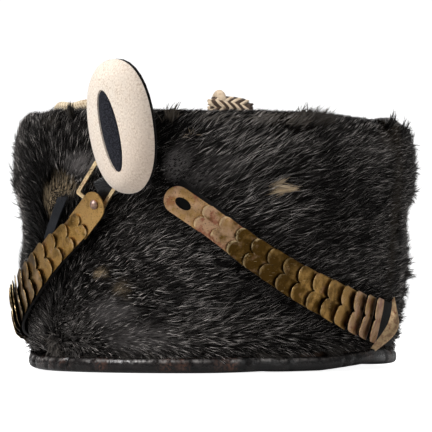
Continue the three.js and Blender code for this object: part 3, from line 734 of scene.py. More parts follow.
def hair_chart(around, along):
    """Direction, stand, length and grey of the hair at places on the pelt."""
    chart = np.array(HAIR_CHART, float)
    at_round, at_along = to_round(chart[:, 0]), to_along(chart[:, 1] * MM)
    apart = short_way(around[:, None] - at_round[None])
    far = np.hypot(apart, (along[:, None] - at_along[None])) / FALLOFF_REACH
    weight = 1 / (0.08 + far**FALLOFF)
    weight /= weight.sum(1, keepdims=True)
    turn = np.radians(chart[:, 2])
    points_to = np.arctan2(weight @ np.sin(turn), weight @ np.cos(turn))
    stands, length, grey = weight @ chart[:, 3], weight @ chart[:, 4] * MM, weight @ chart[:, 5]
    rim = rim_share(along)
    stands = stands * (1 - rim) + RIM_STANDS * rim
    length = length * (1 - rim) + RIM_LENGTH * rim
    foot = np.clip(1 - along / FOOT_HEIGHT, 0, 1)
    points_to = points_to - np.radians(FOOT_TURN) * foot * np.sign(np.cos(points_to))
    stands = stands + FOOT_STANDS * foot
    return points_to, stands, length * (1 - foot) + FOOT_LENGTH * foot, grey


print("places in the hair chart:", len(HAIR_CHART))

# %% [markdown]
# Worn, flattened and discoloured places are charted as ovals. Each one says what is left of the
# hair's length and stand, and which colour it has turned to.

# %% Worn and flattened places
TAN_HUE = 1.0  # a worn place's colour; any other number means blue-grey
WORN_PLACES = [
    # angle, height, half round, half up (mm), length left, stand left, colour, strength
    (-18.2, 86.2, 7.5, 4.8, 0.2, 0.3, 1.0, 0.8), (-22.3, 81, 5.0, 6, 0.2, 0.3, 1.0, 0.75),
    (-9.5, 98, 9.0, 4.2, 0.5, 0.15, 2.0, 0.75),
    (-5.2, 46.4, 2.8, 2.2, 0.4, 0.4, 1.0, 1.0),
    (1.3, 39.5, 3.6, 3.4, 0.6, 0.5, 1.0, 0.3),
    (-2.2, 27.5, 10, 5.5, 0.75, 0.25, 2.0, 0.5),
    (5, 16, 14, 5, 0.8, 0.3, 2.0, 0.42),
    (20, 99, 5, 7, 0.22, 0.1, 2.0, 0.95), (25, 92, 6.5, 5, 0.25, 0.1, 2.0, 0.6),
    (31, 97, 9, 5, 0.75, 0.3, 2.0, 0.25),
    (53, 121, 10, 4, 0.6, 0.35, 1.0, 0.07),
    (90, 118, 10, 7, 0.9, 1.0, 1.0, 0.07),
    (94, 80, 5, 38, 0.9, 1.0, 1.0, 0.05),
]
# Ovals where the hair's grey is raised or lowered, partly for its own lighter and darker patches and partly
# as painted light and shade, and where its painted glints are made more or fewer.
GREY_AND_PAINTED_LIGHT_OVALS = [
    # angle, height, half round, half up (mm), grey times, painted glints times
    (62, 86, 8, 20, 0.35, 0.3), (75, 72, 10, 14, 0.6, 0.6), (41, 97, 7, 6, 1.3, 1.1),
    (-26, 70, 12, 26, 0.6, 0.3), (-14, 62, 10, 10, 0.35, 0.8), (-4, 78, 7, 6, 0.4, 0.6),
    (77, 103, 9, 6, 1.5, 1.4), (90, 118, 10, 7, 1.8, 0.6), (53, 121, 10, 4, 1.7, 0.5),
    (68, 117, 9, 4, 1.3, 0.5), (79, 71, 7, 6, 1.7, 1.5), (42, 109, 22, 8, 1.1, 2.2),
    (46, 79, 13, 9, 1.2, 2.2), (20, 60, 16, 10, 1.1, 2.0), (36, 22, 30, 10, 1.15, 2.0),
    (-22, 17, 17, 16, 2.6, 1.5), (-5, 24, 9, 9, 1.3, 1.0), (26, 50, 14, 8, 1.0, 1.6),
    (-33, 76, 12, 32, 0.25, 0.3), (40, 24, 30, 10, 1.1, 1.2), (62, 62, 12, 8, 0.7, 0.8),
    (-24, 88, 10, 12, 0.5, 0.7), (28, 42, 24, 12, 0.8, 0.7), (28, 107, 20, 12, 1.2, 2.0),
    (80, 111, 16, 8, 1.4, 1.8), (82, 89, 18, 10, 0.6, 0.8), (16, 114, 8, 12, 0.4, 0.4),
    (22, 17, 18, 10, 1.7, 1.4), (8, 68, 12, 11, 1.9, 1.2), (42, 31, 14, 8, 0.55, 0.5),
    (66, 113, 10, 8, 1.4, 1.3), (36, 42, 8, 7, 0.65, 0.6), (-8, 34, 10, 8, 1.4, 1.2),
    (-26, 106, 12, 12, 0.8, 0.9), (-20, 116, 14, 5, 1.4, 1.0), (94, 60, 6, 40, 1.3, 0.4),
    (-24, 16, 18, 15, 2.2, 0.8),
    (-12, 18, 12, 12, 1.6, 0.9), (18, 22, 10, 9, 1.3, 1.0), (15, 15, 14, 8, 1.7, 1.1),
    (50, 24, 18, 12, 0.65, 0.8), (16, 100, 6, 12, 0.7, 0.7), (18, 68, 10, 16, 1.0, 1.0),
    (2, 77, 7, 6, 0.5, 0.7), (9, 75, 6, 6, 1.5, 1.0), (57, 78, 7, 7, 0.7, 0.8), (-5, 63, 6, 6, 0.4, 0.5),
    (-6, 52, 6, 6, 1.4, 1.0), (16, 39, 7, 6, 1.5, 1.0), (45, 37, 6, 5, 1.4, 1.0), (84, 111, 14, 9, 1.5, 1.0),
    (17, 118, 7, 7, 0.5, 0.5), (27, 112, 9, 8, 0.8, 0.8), (57, 97, 8, 7, 1.3, 1.0),
    (24, 84, 8, 6, 1.6, 0.8), (58, 104, 12, 10, 1.2, 1.0), (90, 96, 10, 12, 1.2, 1.0),
]
DENTS = [
    # angle, height, half round, half up (mm), how much deeper the skin lies (mm)
    (-57, 68, 26, 13, 3.3), (120, 74, 26, 13, 3.3), (-54, 122, 22, 7, -1.2),
    (76, 123, 34, 8, -1.6), (101, 122, 20, 8, -2.6), (-26, 121, 10, 7, -0.8), (50, 123, 26, 8, -1.3),
    (92, 123, 10, 7, -1.2), (115, 121, 12, 7, 1.8),
]


def inside_oval(around, along, row):
    """1 well inside an oval place, falling to 0 at 1.6 times its size."""
    angle, height, half_round, half_up = row[:4]
    apart = short_way(around - to_round(angle))
    far = np.hypot(apart / (half_round * MM), (along - to_along(height * MM)) / (half_up * MM))
    return np.clip(1.6 - far, 0, 1) ** 0.8


def grey_and_painted_light(around, along):
    """How much the charted ovals change the hair's grey, partly as painted light and shade, and its painted
    glints.
    """
    grey, glints = np.ones(len(around)), np.ones(len(around))
    for row in GREY_AND_PAINTED_LIGHT_OVALS:
        inside = inside_oval(around, along, row)
        grey *= 1 + (row[4] - 1) * inside
        glints *= 1 + (row[5] - 1) * inside
    return grey, glints


def worn(around, along):
    """What the worn places leave of length and stand, and how far they turn the hair tan or blue-grey."""
    length, stand = np.ones(len(around)), np.ones(len(around))
    tan, blue = np.zeros(len(around)), np.zeros(len(around))
    for row in WORN_PLACES:
        keep, keep_stand, hue, strength = row[4:]
        inside = inside_oval(around, along, row)
        length *= 1 - (1 - keep) * inside
        stand *= 1 - (1 - keep_stand) * inside
        if hue == TAN_HUE:
            tan = np.maximum(tan, inside * strength)
        else:
            blue = np.maximum(blue, inside * strength)
    return length, stand, tan, blue


print("worn places:", len(WORN_PLACES), " shades:", len(GREY_AND_PAINTED_LIGHT_OVALS), " dents:", len(DENTS))

# %% [markdown]
# The scales, straps and buckle lie on the fur and press it flat. Their places are stamped in a map of
# the pelt, so that the hair under them can be laid down and none grows through the brass.

# %% Where the fur is pressed flat
PRESS_CELL, PRESS_SPACING = 1.0 * MM, 0.7 * MM
PRESSED_BY = [n for n in NODES if n.startswith(("left_", "right_")) and n != "right_keeper"]
MAP_ROUND, MAP_ALONG = int(GIRTH / PRESS_CELL), int(PELT_LENGTH / PRESS_CELL) + 1


def to_pelt(points):
    """The girth length and pelt length of points near the wall, and how far out they stand."""
    height = np.clip(points[:, 2], 0, None)
    for _ in range(3):
        spread = flare(height)
        x = (points[:, 0] - AXIS_X - LEAN_X * height) / (HALF_X + spread)
        y = -(points[:, 1] - AXIS_Y - LEAN_Y * height) / (HALF_Y + spread)
        angle = np.degrees(np.arctan2(x, y))
        lift = edge_lift(angle)
        height = np.clip((points[:, 2] - lift) / (rim_height(angle) - lift) * CAP_HEIGHT, 0, CAP_HEIGHT)
    out = (np.hypot(x, y) - 1) * (HALF_X + spread)
    return to_round(angle), to_along(height), out


def surface_samples(piece, spacing):
    """Points spread over a mesh about that far apart."""
    found = []
    corners = points_of(piece)
    for face in piece.data.polygons:
        a, b, c = (corners[i] for i in face.vertices[:3])
        n = max(1, int(np.ceil(max(np.linalg.norm(b - a), np.linalg.norm(c - a)) / spacing)))
        for i in range(n + 1):
            for j in range(n + 1 - i):
                found.append(a + (b - a) * i / n + (c - a) * j / n)
    return np.array(found)


pressed = np.zeros((MAP_ROUND, MAP_ALONG), bool)
for name in PRESSED_BY:
    around, along, _ = to_pelt(surface_samples(NODES[name], PRESS_SPACING))
    column = ((around / PRESS_CELL).astype(int)) % MAP_ROUND
    row = np.clip((along / PRESS_CELL).astype(int), 0, MAP_ALONG - 1)
    pressed[column, row] = True
for axis in (0, 1):
    pressed |= np.roll(pressed, 1, axis) | np.roll(pressed, -1, axis)


def is_pressed(around, along):
    """Whether something lies on the fur at each place."""
    column = (np.floor(around / PRESS_CELL).astype(int)) % MAP_ROUND
    row = np.clip((along / PRESS_CELL).astype(int), 0, MAP_ALONG - 1)
    return pressed[column, row]


print("pressed share of the pelt:", round(pressed.mean(), 3))

# %% [markdown]
# Locks are cells of a jittered grid, stretched along the way the hair lies. Each hair belongs to the
# nearest lock: it takes part of its lock's direction, and its tip is drawn towards the lock's middle
# line, so that the lock ends in a point and a dark cleft opens beside it.

# %% Locks
def locks(around, along, spacing, stretch, points_to, seed):
    """For each place, the number of its lock and how far it is off the lock's middle line."""
    random = np.random.default_rng(seed)
    columns, lines = max(8, round(GIRTH / spacing)), int(PELT_LENGTH / spacing) + 3
    width = GIRTH / columns
    jitter = random.uniform(-0.45, 0.45, (columns, lines, 2))
    column, line = np.floor(around / width).astype(int), np.floor(along / spacing).astype(int)
    best = np.full(len(around), np.inf)
    number, aside = np.zeros(len(around), int), np.zeros(len(around))
    way = np.stack([np.cos(points_to), np.sin(points_to)], axis=1)
    reach = 1 if stretch < 1.5 else 2
    for i in range(-reach, reach + 1):
        for j in range(-reach, reach + 1):
            c, r = column + i, np.clip(line + j, 0, lines - 1)
            shift = jitter[c % columns, r]
            apart_round = around - (c + 0.5 + shift[:, 0]) * width
            apart_along = along - (line + j + 0.5 + shift[:, 1]) * spacing
            onward = apart_round * way[:, 0] + apart_along * way[:, 1]
            off = apart_along * way[:, 0] - apart_round * way[:, 1]
            far = np.hypot(onward / stretch, off)
            nearer = far < best
            best = np.where(nearer, far, best)
            number = np.where(nearer, (c % columns) * lines + r, number)
            aside = np.where(nearer, off, aside)
    return number, aside


MOST_LOCKS = 90000


def per_lock(number, seed):
    """One even random number from -1 to 1 for each lock, looked up for each hair."""
    return np.random.default_rng(seed).uniform(-1, 1, MOST_LOCKS)[number]


# %% [markdown]
# One function draws every hair's middle line from a list of roots. A hair starts at the skin, rises at
# its stand and bends over towards the pelt on its way to the tip. Under a scale or a strap it lies flat.

# %% The lines of the hair
SKIN_DEPTH = 2.7 * MM  # the skin lies this far inside the pelt's outer form
SKIN_DEPTH_RIM = 1.2 * MM
FLOOR_GAP = 0.3 * MM  # no hair goes lower than this
SHELL_DEPTH_LOW, SHELL_DEPTH_MORE = 3.8 * MM, 2.2 * MM  # the skin stays just outside the leather shell
LOCK, TUFT = 1.9 * MM, 8.0 * MM
LOCK_STRETCH, TUFT_STRETCH = 2.6, 1.4
STAND_AT_ROOT, STAND_LOST = 1.35, 0.9  # a hair stands steeper at its root, and bends over by its tip
PRESSED_DEPTH = 0.2 * MM  # a pressed hair stays this far below the pelt's outer form
LOCK_TWIST, HAIR_TWIST = 0.7, 0.25  # how far locks and hairs turn about their own length, in radians


def skin_depth(around, along):
    """How deep the skin lies below the pelt's outer form."""
    rim = rim_share(along)
    depth = SKIN_DEPTH * (1 - rim) + SKIN_DEPTH_RIM * rim
    for row in DENTS:
        depth = depth + row[4] * MM * inside_oval(around, along, row)
    height = np.interp(along, steps, PELT_HEIGHT)
    return np.minimum(depth, SHELL_DEPTH_LOW + SHELL_DEPTH_MORE * np.clip(height / (60 * MM), 0, 1))


def hair_lines(hair, share):
    """Each hair's joints, at shares of its length, and the direction out of the pelt at its root."""
    around, along, length = hair["around"], hair["along"], hair["length"]
    place, out, right, up = pelt_frame(around, along)
    root = place - out * skin_depth(around, along)[:, None]
    line = [root]
    for k in range(1, len(share)):
        middle = (share[k] + share[k - 1]) / 2
        lift = np.radians(hair["stands"] * (STAND_AT_ROOT - STAND_LOST * middle))
        turn = hair["points_to"] + hair["curl"] * middle * 2
        flat = np.cos(turn)[:, None] * right + np.sin(turn)[:, None] * up
        heading = np.cos(lift)[:, None] * flat + np.sin(lift)[:, None] * out
        line.append(line[-1] + heading * (length * (share[k] - share[k - 1]))[:, None])
    sideways = np.cos(hair["points_to"])[:, None] * up - np.sin(hair["points_to"])[:, None] * right
    line = [p - sideways * (hair["drawn"] * s**1.3)[:, None] for p, s in zip(line, share)]

    tip_round = around + np.cos(hair["points_to"]) * length
    tip_along = along + np.sin(hair["points_to"]) * length
    flat = is_pressed(around, along) | is_pressed(tip_round, tip_along)
    flat |= is_pressed((around + tip_round) / 2, (along + tip_along) / 2)
    ceiling = skin_depth(around, along) - PRESSED_DEPTH
    for k in range(1, len(share)):
        rise = ((line[k] - root) * out).sum(1)
        drop = np.where(flat, np.maximum(rise - ceiling * share[k], 0), 0)
        line[k] = line[k] - out * drop[:, None]
        line[k][:, 2] = np.maximum(line[k][:, 2], FLOOR_GAP)
    return line, out


# %% [markdown]
# Each line then becomes a ribbon that tapers to a point. The ribbons of a mesh are laid out as arrays,
# because one by one they would take minutes. Their points carry values for the material: how far along
# the hair a point is, the hair's own tone with its painted glint, and how tan or blue-grey it has turned.

# %% Ribbons of hair
def ribbon_faces(count, joints):
    """The triangles of `count` ribbons whose points are numbered in pairs from root to tip."""
    per_hair = 2 * joints - 1
    base = np.arange(count)[:, None] * per_hair
    faces = []
    for k in range(joints - 2):
        a = 2 * k
        faces += [base + [a, a + 1, a + 3], base + [a, a + 3, a + 2]]
    last = per_hair - 3
    faces.append(base + [last, last + 1, last + 2])
    return np.concatenate(faces)


def hair_mesh(name, random, hair, width, joints):
    """Tapering ribbons. `hair` holds one value for each hair of every quantity it needs."""
    count = len(hair["around"])
    share = np.linspace(0, 1, joints)
    line, out = hair_lines(hair, share)
    heading = unit(line[-1] - line[0])
    side = unit(np.cross(heading, out))
    roll = (hair["twist"] + random.normal(0, HAIR_TWIST, count))[:, None]
    side = side * np.cos(roll) + np.cross(heading, side) * np.sin(roll)
    thick = width * np.clip(1 + random.normal(0, 0.2, count), 0.5, 1.6)
    taper = 1 - share**2 * 0.75
    vertices, far_along = [], []
    for k in range(joints - 1):
        half = side * (thick * taper[k] / 2)[:, None]
        vertices += [line[k] - half, line[k] + half]
        far_along += [share[k], share[k]]
    vertices.append(line[-1])
    far_along.append(1.0)
    per_hair = len(vertices)
    vertices = np.stack(vertices, axis=1).reshape(-1, 3)
    faces = ribbon_faces(count, joints)
    mesh = bpy.data.meshes.new(name)
    mesh.vertices.add(len(vertices))
    mesh.vertices.foreach_set("co", vertices.astype(np.float32).ravel())
    mesh.loops.add(len(faces) * 3)
    mesh.loops.foreach_set("vertex_index", faces.astype(np.int32).ravel())
    mesh.polygons.add(len(faces))
    mesh.polygons.foreach_set("loop_start", np.arange(0, len(faces) * 3, 3, dtype=np.int32))
    mesh.update(calc_edges=True)
    # each hair's painted glint is added to its tone at one joint, as a short bright stretch
    joint_of = np.repeat(np.arange(joints), 2)[:-1]
    here = joint_of[None] == hair["glint_at"][:, None]
    values = {
        "tone": np.clip(hair["tone"][:, None] + hair["painted_glint"][:, None] * here, 0, 1).ravel(),
        "tan": np.repeat(hair["tan"], per_hair),
        "blue": np.repeat(hair["blue"], per_hair),
        "far_along": np.tile(far_along, count),
    }
    piece = bpy.data.objects.new(name, mesh)
    bpy.context.scene.collection.objects.link(piece)
    for attribute, column in values.items():
        store(piece, attribute, column)
    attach(piece, "root")
    print(name, count, "hairs,", len(faces), "faces")
    return piece


# %% [markdown]
# The coat is grown from the charts over the whole pelt. A few hairs in a hundred get a painted glint: a
# short stretch of them is painted bright. At the back, fewer and wider hairs cover the skin, which keeps
# the meshes light.

# %% Growing the coat
TONE_SHARE = 0.046  # of the way from dark to light, for hair of full grey
# painted shade: the hair at a lock's edge is darkened, for the cleft beside the lock
LOCK_EDGE_PAINTED_SHADE = 0.44  # how much darker the hair at a lock's edge is
# how much whole tufts, whole locks and single hairs differ in direction (degrees), stand, length,
# tone and glint
TUFT_SWING, LOCK_SWING = 12, 7
TUFT_RAISE, LOCK_RAISE = 0.24, 0.22
LOCK_UNEVEN, HAIR_UNEVEN = 0.22, 0.16
TUFT_TONE, LOCK_TONE = 0.32, 0.22
TUFT_GLINT, LOCK_GLINT = 0.42, 0.32
FRONT_MIDDLE, FRONT_HALF = 31.5, 99.5  # degrees; the coat is full within this of the middle
BACK_SHARE, BACK_WIDER = 0.45, 1.35  # the share of hairs kept at the back, and their width there


def grow(name, count, seed, width, joints, length_share, wild, gather, painted_glint):
    """A mesh of `count` hairs spread over the pelt."""
    random = np.random.default_rng(seed)
    around = random.uniform(-GIRTH / 2, GIRTH / 2, count)
    along = random.uniform(0.6 * MM, PELT_LENGTH - 1.5 * MM, count)
    points_to, stands, length, grey = hair_chart(around, along)
    keep, keep_stand, tan, blue = worn(around, along)
    for share in (0.45, 0.9):  # a hair that reaches over a worn place is broken off short as well
        ahead_round = around + share * length * np.cos(points_to)
        ahead_along = along + share * length * np.sin(points_to)
        keep_ahead, stand_ahead, _, _ = worn(ahead_round, ahead_along)
        keep, keep_stand = np.minimum(keep, keep_ahead), np.minimum(keep_stand, stand_ahead)
    grey_times, glint_times = grey_and_painted_light(around, along)
    tuft, _ = locks(around, along, TUFT, TUFT_STRETCH, points_to, 5)
    lock, aside = locks(around, along, LOCK, LOCK_STRETCH, points_to, 6)

    def noise(spread):
        return random.normal(0, spread, count)

    calm = (0.35 + 0.65 * keep_stand) * (1 - 0.6 * rim_share(along))
    swing = TUFT_SWING * per_lock(tuft, 11) + LOCK_SWING * per_lock(lock, 12) + noise(wild)
    raised = 1 + TUFT_RAISE * per_lock(tuft, 13) + LOCK_RAISE * per_lock(lock, 14)
    stands = stands * (1 + (raised - 1) * calm) + noise(wild * 0.35) * calm
    uneven = np.clip(1 + LOCK_UNEVEN * per_lock(lock, 15) + noise(HAIR_UNEVEN), 0.45, 1.6)
    edge = np.clip(np.abs(aside) / (0.6 * LOCK), 0, 1)
    tone = grey * grey_times * (1 + TUFT_TONE * per_lock(tuft, 16) + LOCK_TONE * per_lock(lock, 17))
    # painted shade darkens the hair at its lock's edge
    tone *= (1 - LOCK_EDGE_PAINTED_SHADE * edge) * random.uniform(0.5, 1.4, count)
    glinting = 1 + TUFT_GLINT * per_lock(tuft, 19) + LOCK_GLINT * per_lock(lock, 20)
    glint_times = glint_times * np.clip(glinting, 0.1, 2)
    # painted glints: a few hairs get a bright stretch painted into their colour
    painted_glints = painted_glint * glint_times * random.uniform(0, 1, count) ** 12
    hair = {
        "around": around,
        "along": along,
        "points_to": points_to + np.radians(swing * calm),
        "stands": np.clip(stands * keep_stand + 5 * painted_glints, 1, 60),
        "length": length * length_share * keep * uneven,
        "curl": np.radians(noise(5)),
        "drawn": aside * gather,
        "twist": LOCK_TWIST * per_lock(lock, 18),
        "tone": np.clip(tone * TONE_SHARE, 0, 1),
        "painted_glint": painted_glints,
        "glint_at": random.integers(1, 3, count),
        "tan": np.clip(tan * random.uniform(0.4, 1, count), 0, 1),
        "blue": blue,
    }
    front = np.abs((to_angle(around) - FRONT_MIDDLE + 180) % 360 - 180) < FRONT_HALF
    kept = front | (random.uniform(0, 1, count) < BACK_SHARE)
    hair = {quantity: values[kept] for quantity, values in hair.items()}
    return hair_mesh(name, random, hair, width * np.where(front, 1, BACK_WIDER)[kept], joints)


# %% [markdown]
# The hair's finish is a black-brown with a soft gloss, and painted shade darkens it towards the root. Its
# tone makes some hairs greyer and carries painted glints and the painted shade at lock edges, and worn
# places turn it tan or blue-grey.

# %% The hair's finish
TAN_HAIR, BLUE_HAIR = (0.5, 0.38, 0.24), (0.168, 0.154, 0.15)


def hair_finish(name, root, dark, light, roughness, specular):
    material, desk = new_finish(name, roughness, 0.0, Specular_IOR_Level=specular)
    toned = desk.blend(desk.attribute("tone"), dark, light)
    toned = desk.blend(desk.attribute("tan"), toned, TAN_HAIR)
    toned = desk.blend(desk.attribute("blue"), toned, BLUE_HAIR)
    # painted shade: each hair darkens to its root colour over its lower half, less where it is worn tan or
    # blue-grey
    above_painted_root_shade = desk.span(desk.attribute("far_along"), 0.05, 0.5)
    bare = desk.sum("MULTIPLY", desk.sum("ADD", desk.attribute("tan"), desk.attribute("blue")), 0.9)
    clear_of_painted_root_shade = desk.sum("MAXIMUM", above_painted_root_shade, bare)
    desk.dress(desk.blend(clear_of_painted_root_shade, root, toned))
    return material


UNDER_ROOT_PAINTED_SHADE, UNDER_DARK, UNDER_LIGHT = (0.0013, 0.0011, 0.001), (0.002, 0.0018, 0.0016), (0.09, 0.08, 0.073)
# the guard hair's light colour is what its painted glints reach
GUARD_ROOT_PAINTED_SHADE, GUARD_DARK, GUARD_LIGHT = (0.0012, 0.001, 0.0009), (0.0022, 0.0018, 0.0016), (0.76, 0.7, 0.66)
UNDERFUR_FINISH = hair_finish("underfur", UNDER_ROOT_PAINTED_SHADE, UNDER_DARK, UNDER_LIGHT, 0.7, 0.0)
GUARD_FINISH = hair_finish("guard_hair", GUARD_ROOT_PAINTED_SHADE, GUARD_DARK, GUARD_LIGHT, 0.3, 0.04)

# %% Grow the coat
COAT = [
    # kind, meshes, first seed, hairs, width in mm, joints, length's share, wildness, gather, painted glint,
    # finish
    ("underfur", "ab", 21, 62000, 0.72, 2, 0.62, 14, 0.3, 0.0, UNDERFUR_FINISH),
    ("guard_hair", "abcdef", 31, 39000, 0.16, 3, 0.9, 7, 0.34, 1.9, GUARD_FINISH),
]
for kind, letters, first_seed, hairs, width, joints, length, wild, gather, painted_glint, finish in COAT:
    for seed, letter in enumerate(letters, first_seed):
        hair = grow(f"{kind}_{letter}", hairs, seed, width * MM, joints, length, wild, gather, painted_glint)
        hair.data.materials.append(finish)

# %% [markdown]
# A few bunches of hair stick out: a bleached tuft at the front, spiky ones at the rim and along both
# sides. Each row of the first list is one bunch. Each row of the second is a stretch of the sides or
# of the foot, which gets more of them at random places.

# %% Bunches that stick out
BUNCHES = [
    # angle, height, points to, stands, length mm, hairs, half round, half up (mm), fan, tone, tan
    (45.2, 87.6, 4, 20, 12, 360, 0.7, 1.5, 1.5, 0.3, 1.0),
    (46.3, 88.4, 36, 22, 7, 150, 0.7, 0.5, 3, 0.3, 1.0),
    (-15.6, 84, 245, 30, 5, 110, 1.3, 0.6, 12, 0.03, 0.0),
    (89, 121.5, 94, 62, 7.2, 90, 1.1, 0.8, 20, 0.03, 0.0),
    (-15.3, 79.5, 60, 40, 7, 150, 2.4, 1.2, 18, 0.03, 0.0),
    (-14.2, 122, 78, 58, 7.5, 170, 0.7, 0.6, 7, 0.03, 0.02),
    (57, 121, 52, 34, 8, 170, 4.5, 1.5, 16, 0.05, 0.02), (60.5, 121, 30, 38, 8, 150, 3, 1.5, 14, 0.06, 0.02),
    (53, 120, 30, 30, 8, 90, 3, 1.5, 12, 0.12, 0.05), (97, 117, 75, 40, 8, 150, 2, 2, 24, 0.03, 0.0),
    (18, 121, 62, 42, 7, 70, 2, 1.5, 18, 0.08, 0.1),
    (24.3, 112.5, 95, 34, 5.5, 9, 0.7, 0.5, 65, 0.3, 0.9),
    (43, 120, 34, 28, 7, 80, 5, 1.5, 10, 0.14, 0.04),
    (30, 120, 34, 26, 7, 60, 5, 1.5, 10, 0.12, 0.04), (-24, 118, 40, 30, 7, 90, 4, 1.5, 14, 0.08, 0.03),
    (-29, 114, 110, 44, 7, 80, 2, 2, 20, 0.04, 0.0), (-27, 14, -90, 20, 7, 170, 3.2, 2.2, 40, 0.1, 0.03),
]
SIDE_BUNCHES = [
    # angle from, to, height from, to, points to, stands, how many
    (-65, -50, 84, 112, 150, 22, 22), (-65, -50, 44, 84, 150, 24, 14), (-62, -48, 8, 40, 150, 26, 14),
    (113, 128, 84, 114, 18, 30, 26), (113, 128, 50, 84, 14, 26, 16), (112, 126, 14, 50, 18, 38, 26),
    (104, 118, 112, 120, 50, 28, 10),
    (-180, 180, 8.8, 10, -35, 24, 36),
]
BUNCH_HAIR_WIDTH = 0.42 * MM


def bunches(name, seed):
    """All bunches as one mesh."""
    random = np.random.default_rng(seed)
    rows = [list(row) for row in BUNCHES]
    for first, last, low, high, points_to, stands, count in SIDE_BUNCHES:
        for _ in range(count):
            spot = [random.uniform(first, last), random.uniform(low, high)]
            lie = [points_to + random.normal(0, 20), stands + random.normal(0, 7)]
            size = [random.uniform(6, 9.5), int(random.uniform(20, 60)), 1.1, 1.1]
            rows.append(spot + lie + size + [15, 0.04, 0.01])
    values = np.repeat(np.array(rows), [row[5] for row in rows], axis=0)
    count = len(values)

    def noise(spread):
        return random.normal(0, 1, count) * spread

    angle, height, points_to, stands, length, _, half_round, half_up, fan, tone, tan = values.T
    aside = noise(half_up)
    hair = {
        "around": to_round(angle) + noise(half_round) * MM,
        "along": np.clip(to_along(height * MM) + aside * MM, 1 * MM, PELT_LENGTH - 2 * MM),
        "points_to": np.radians(points_to + noise(fan)),
        "stands": np.clip(stands + noise(5), 2, 75),
        "length": length * MM * np.clip(1 + noise(0.2), 0.5, 1.5),
        "curl": np.radians(noise(0.6 * fan)),
        "drawn": aside * MM * 0.8,
        "twist": noise(0.4),
        "tone": np.clip(tone * (1 + noise(0.5)), 0, 1),
        "painted_glint": np.zeros(count),
        "glint_at": np.ones(count, int),
        "tan": np.clip(tan * (1 + noise(0.4)), 0, 1),
        "blue": np.zeros(count),
    }
    return hair_mesh(name, random, hair, BUNCH_HAIR_WIDTH, 4)


loose_bunches = bunches("loose_bunches", 41)
loose_bunches.data.materials.append(GUARD_FINISH)

# %% [markdown]
# The skin closes the pelt between the roots. It is a plain grid over the pelt's form, drawn in to where
# the hair grows from. Its near-black colour is painted shade, because hardly any light gets down to it.

# %% The skin under the hair
SKIN_COLUMNS, SKIN_LINES = 240, 70
SKIN_LOWER = 0.2 * MM  # below the roots, so that flat hairs stay above it
SKIN_STOPS = 0.6 * MM  # short of the pelt's inner end
SKIN_PAINTED_SHADE = (0.004, 0.0036, 0.0032)


def pelt_skin():
    """A grid over the pelt's form, drawn in to where the hair grows from."""
    around = np.linspace(-GIRTH / 2, GIRTH / 2, SKIN_COLUMNS, endpoint=False)
    along = np.linspace(0, PELT_LENGTH - SKIN_STOPS, SKIN_LINES)
    grid_round, grid_along = (g.ravel() for g in np.meshgrid(around, along, indexing="ij"))
    place, out, _, _ = pelt_frame(grid_round, grid_along)
    points = place - out * (skin_depth(grid_round, grid_along)[:, None] + SKIN_LOWER)
    faces = []
    for i in range(SKIN_COLUMNS):
        for j in range(SKIN_LINES - 1):
            a, b = i * SKIN_LINES + j, ((i + 1) % SKIN_COLUMNS) * SKIN_LINES + j
            faces.append((a, b, b + 1, a + 1))
    return new_piece("pelt_skin", points, faces)


skin = pelt_skin()
SKIN_FINISH, desk = new_finish("pelt_skin", 0.8, Specular_IOR_Level=0.05)
desk.dress(SKIN_PAINTED_SHADE)
skin.data.materials.append(SKIN_FINISH)
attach(skin, "root")
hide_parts("fur_cover")
print("pelt_skin", triangles(skin), "triangles")

# %% [markdown]
# ## Pieces taken from the frame's own forms
# Many solids of the frame have the right shape, but they are coarse and sharp-edged, as for sums and
# not for looking at. A copy of each is merged, its edges are rounded with a bevel or softened by
# subdivision, and the copy takes the solid's place in the picture.

# %% Smooth copies
def copy_of(node_name, name):
    """The frame's own form as a new piece, with its loose triangles merged."""
    piece = bpy.data.objects.new(name, NODES[node_name].data.copy())
    bpy.context.scene.collection.objects.link(piece)
    piece.data.materials.clear()
    pick(piece)
    bpy.ops.object.mode_set(mode="EDIT")
    bpy.ops.mesh.select_all(action="SELECT")
    bpy.ops.mesh.remove_doubles(threshold=0.01 * MM)
    bpy.ops.mesh.tris_convert_to_quads(face_threshold=math.radians(50), shape_threshold=math.radians(60))
    bpy.ops.object.mode_set(mode="OBJECT")
    return piece


def subdivide(piece, levels, kind="CATMULL_CLARK"):
    """Splits a piece's faces, and rounds it unless the kind is SIMPLE."""
    apply_modifier(piece, "SUBSURF", levels=levels, render_levels=levels, subdivision_type=kind)


def bevel(piece, width, over=40, segments=2):
    """Rounds the edges that turn by more than `over` degrees, to a width in mm."""
    limit = math.radians(over)
    apply_modifier(
        piece, "BEVEL", width=width * MM, segments=segments, limit_method="ANGLE", angle_limit=limit
    )


def finish_piece(piece, finish, stands_for=(), smooth_angle=None):
    """Gives a piece its shading, material and place in the frame, and hides the solids it stands for."""
    pick(piece)
    if smooth_angle is None:
        bpy.ops.object.shade_smooth()
    else:
        bpy.ops.object.shade_smooth_by_angle(angle=math.radians(smooth_angle))
    piece.data.materials.clear()
    piece.data.materials.append(finish)
    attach(piece, "root")
    if stands_for:
        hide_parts(*stands_for)
    print(piece.name, triangles(piece), "triangles")


def move_points(piece, points):
    """Moves every point of a piece to a new place."""
    piece.data.vertices.foreach_set("co", np.asarray(points, np.float32).ravel())
    piece.data.update()


# %% [markdown]
# The leather is black and worn. It has pores and creases. On its edges, and where hands and tables have
# rubbed it, the dye has gone to a rusty brown.

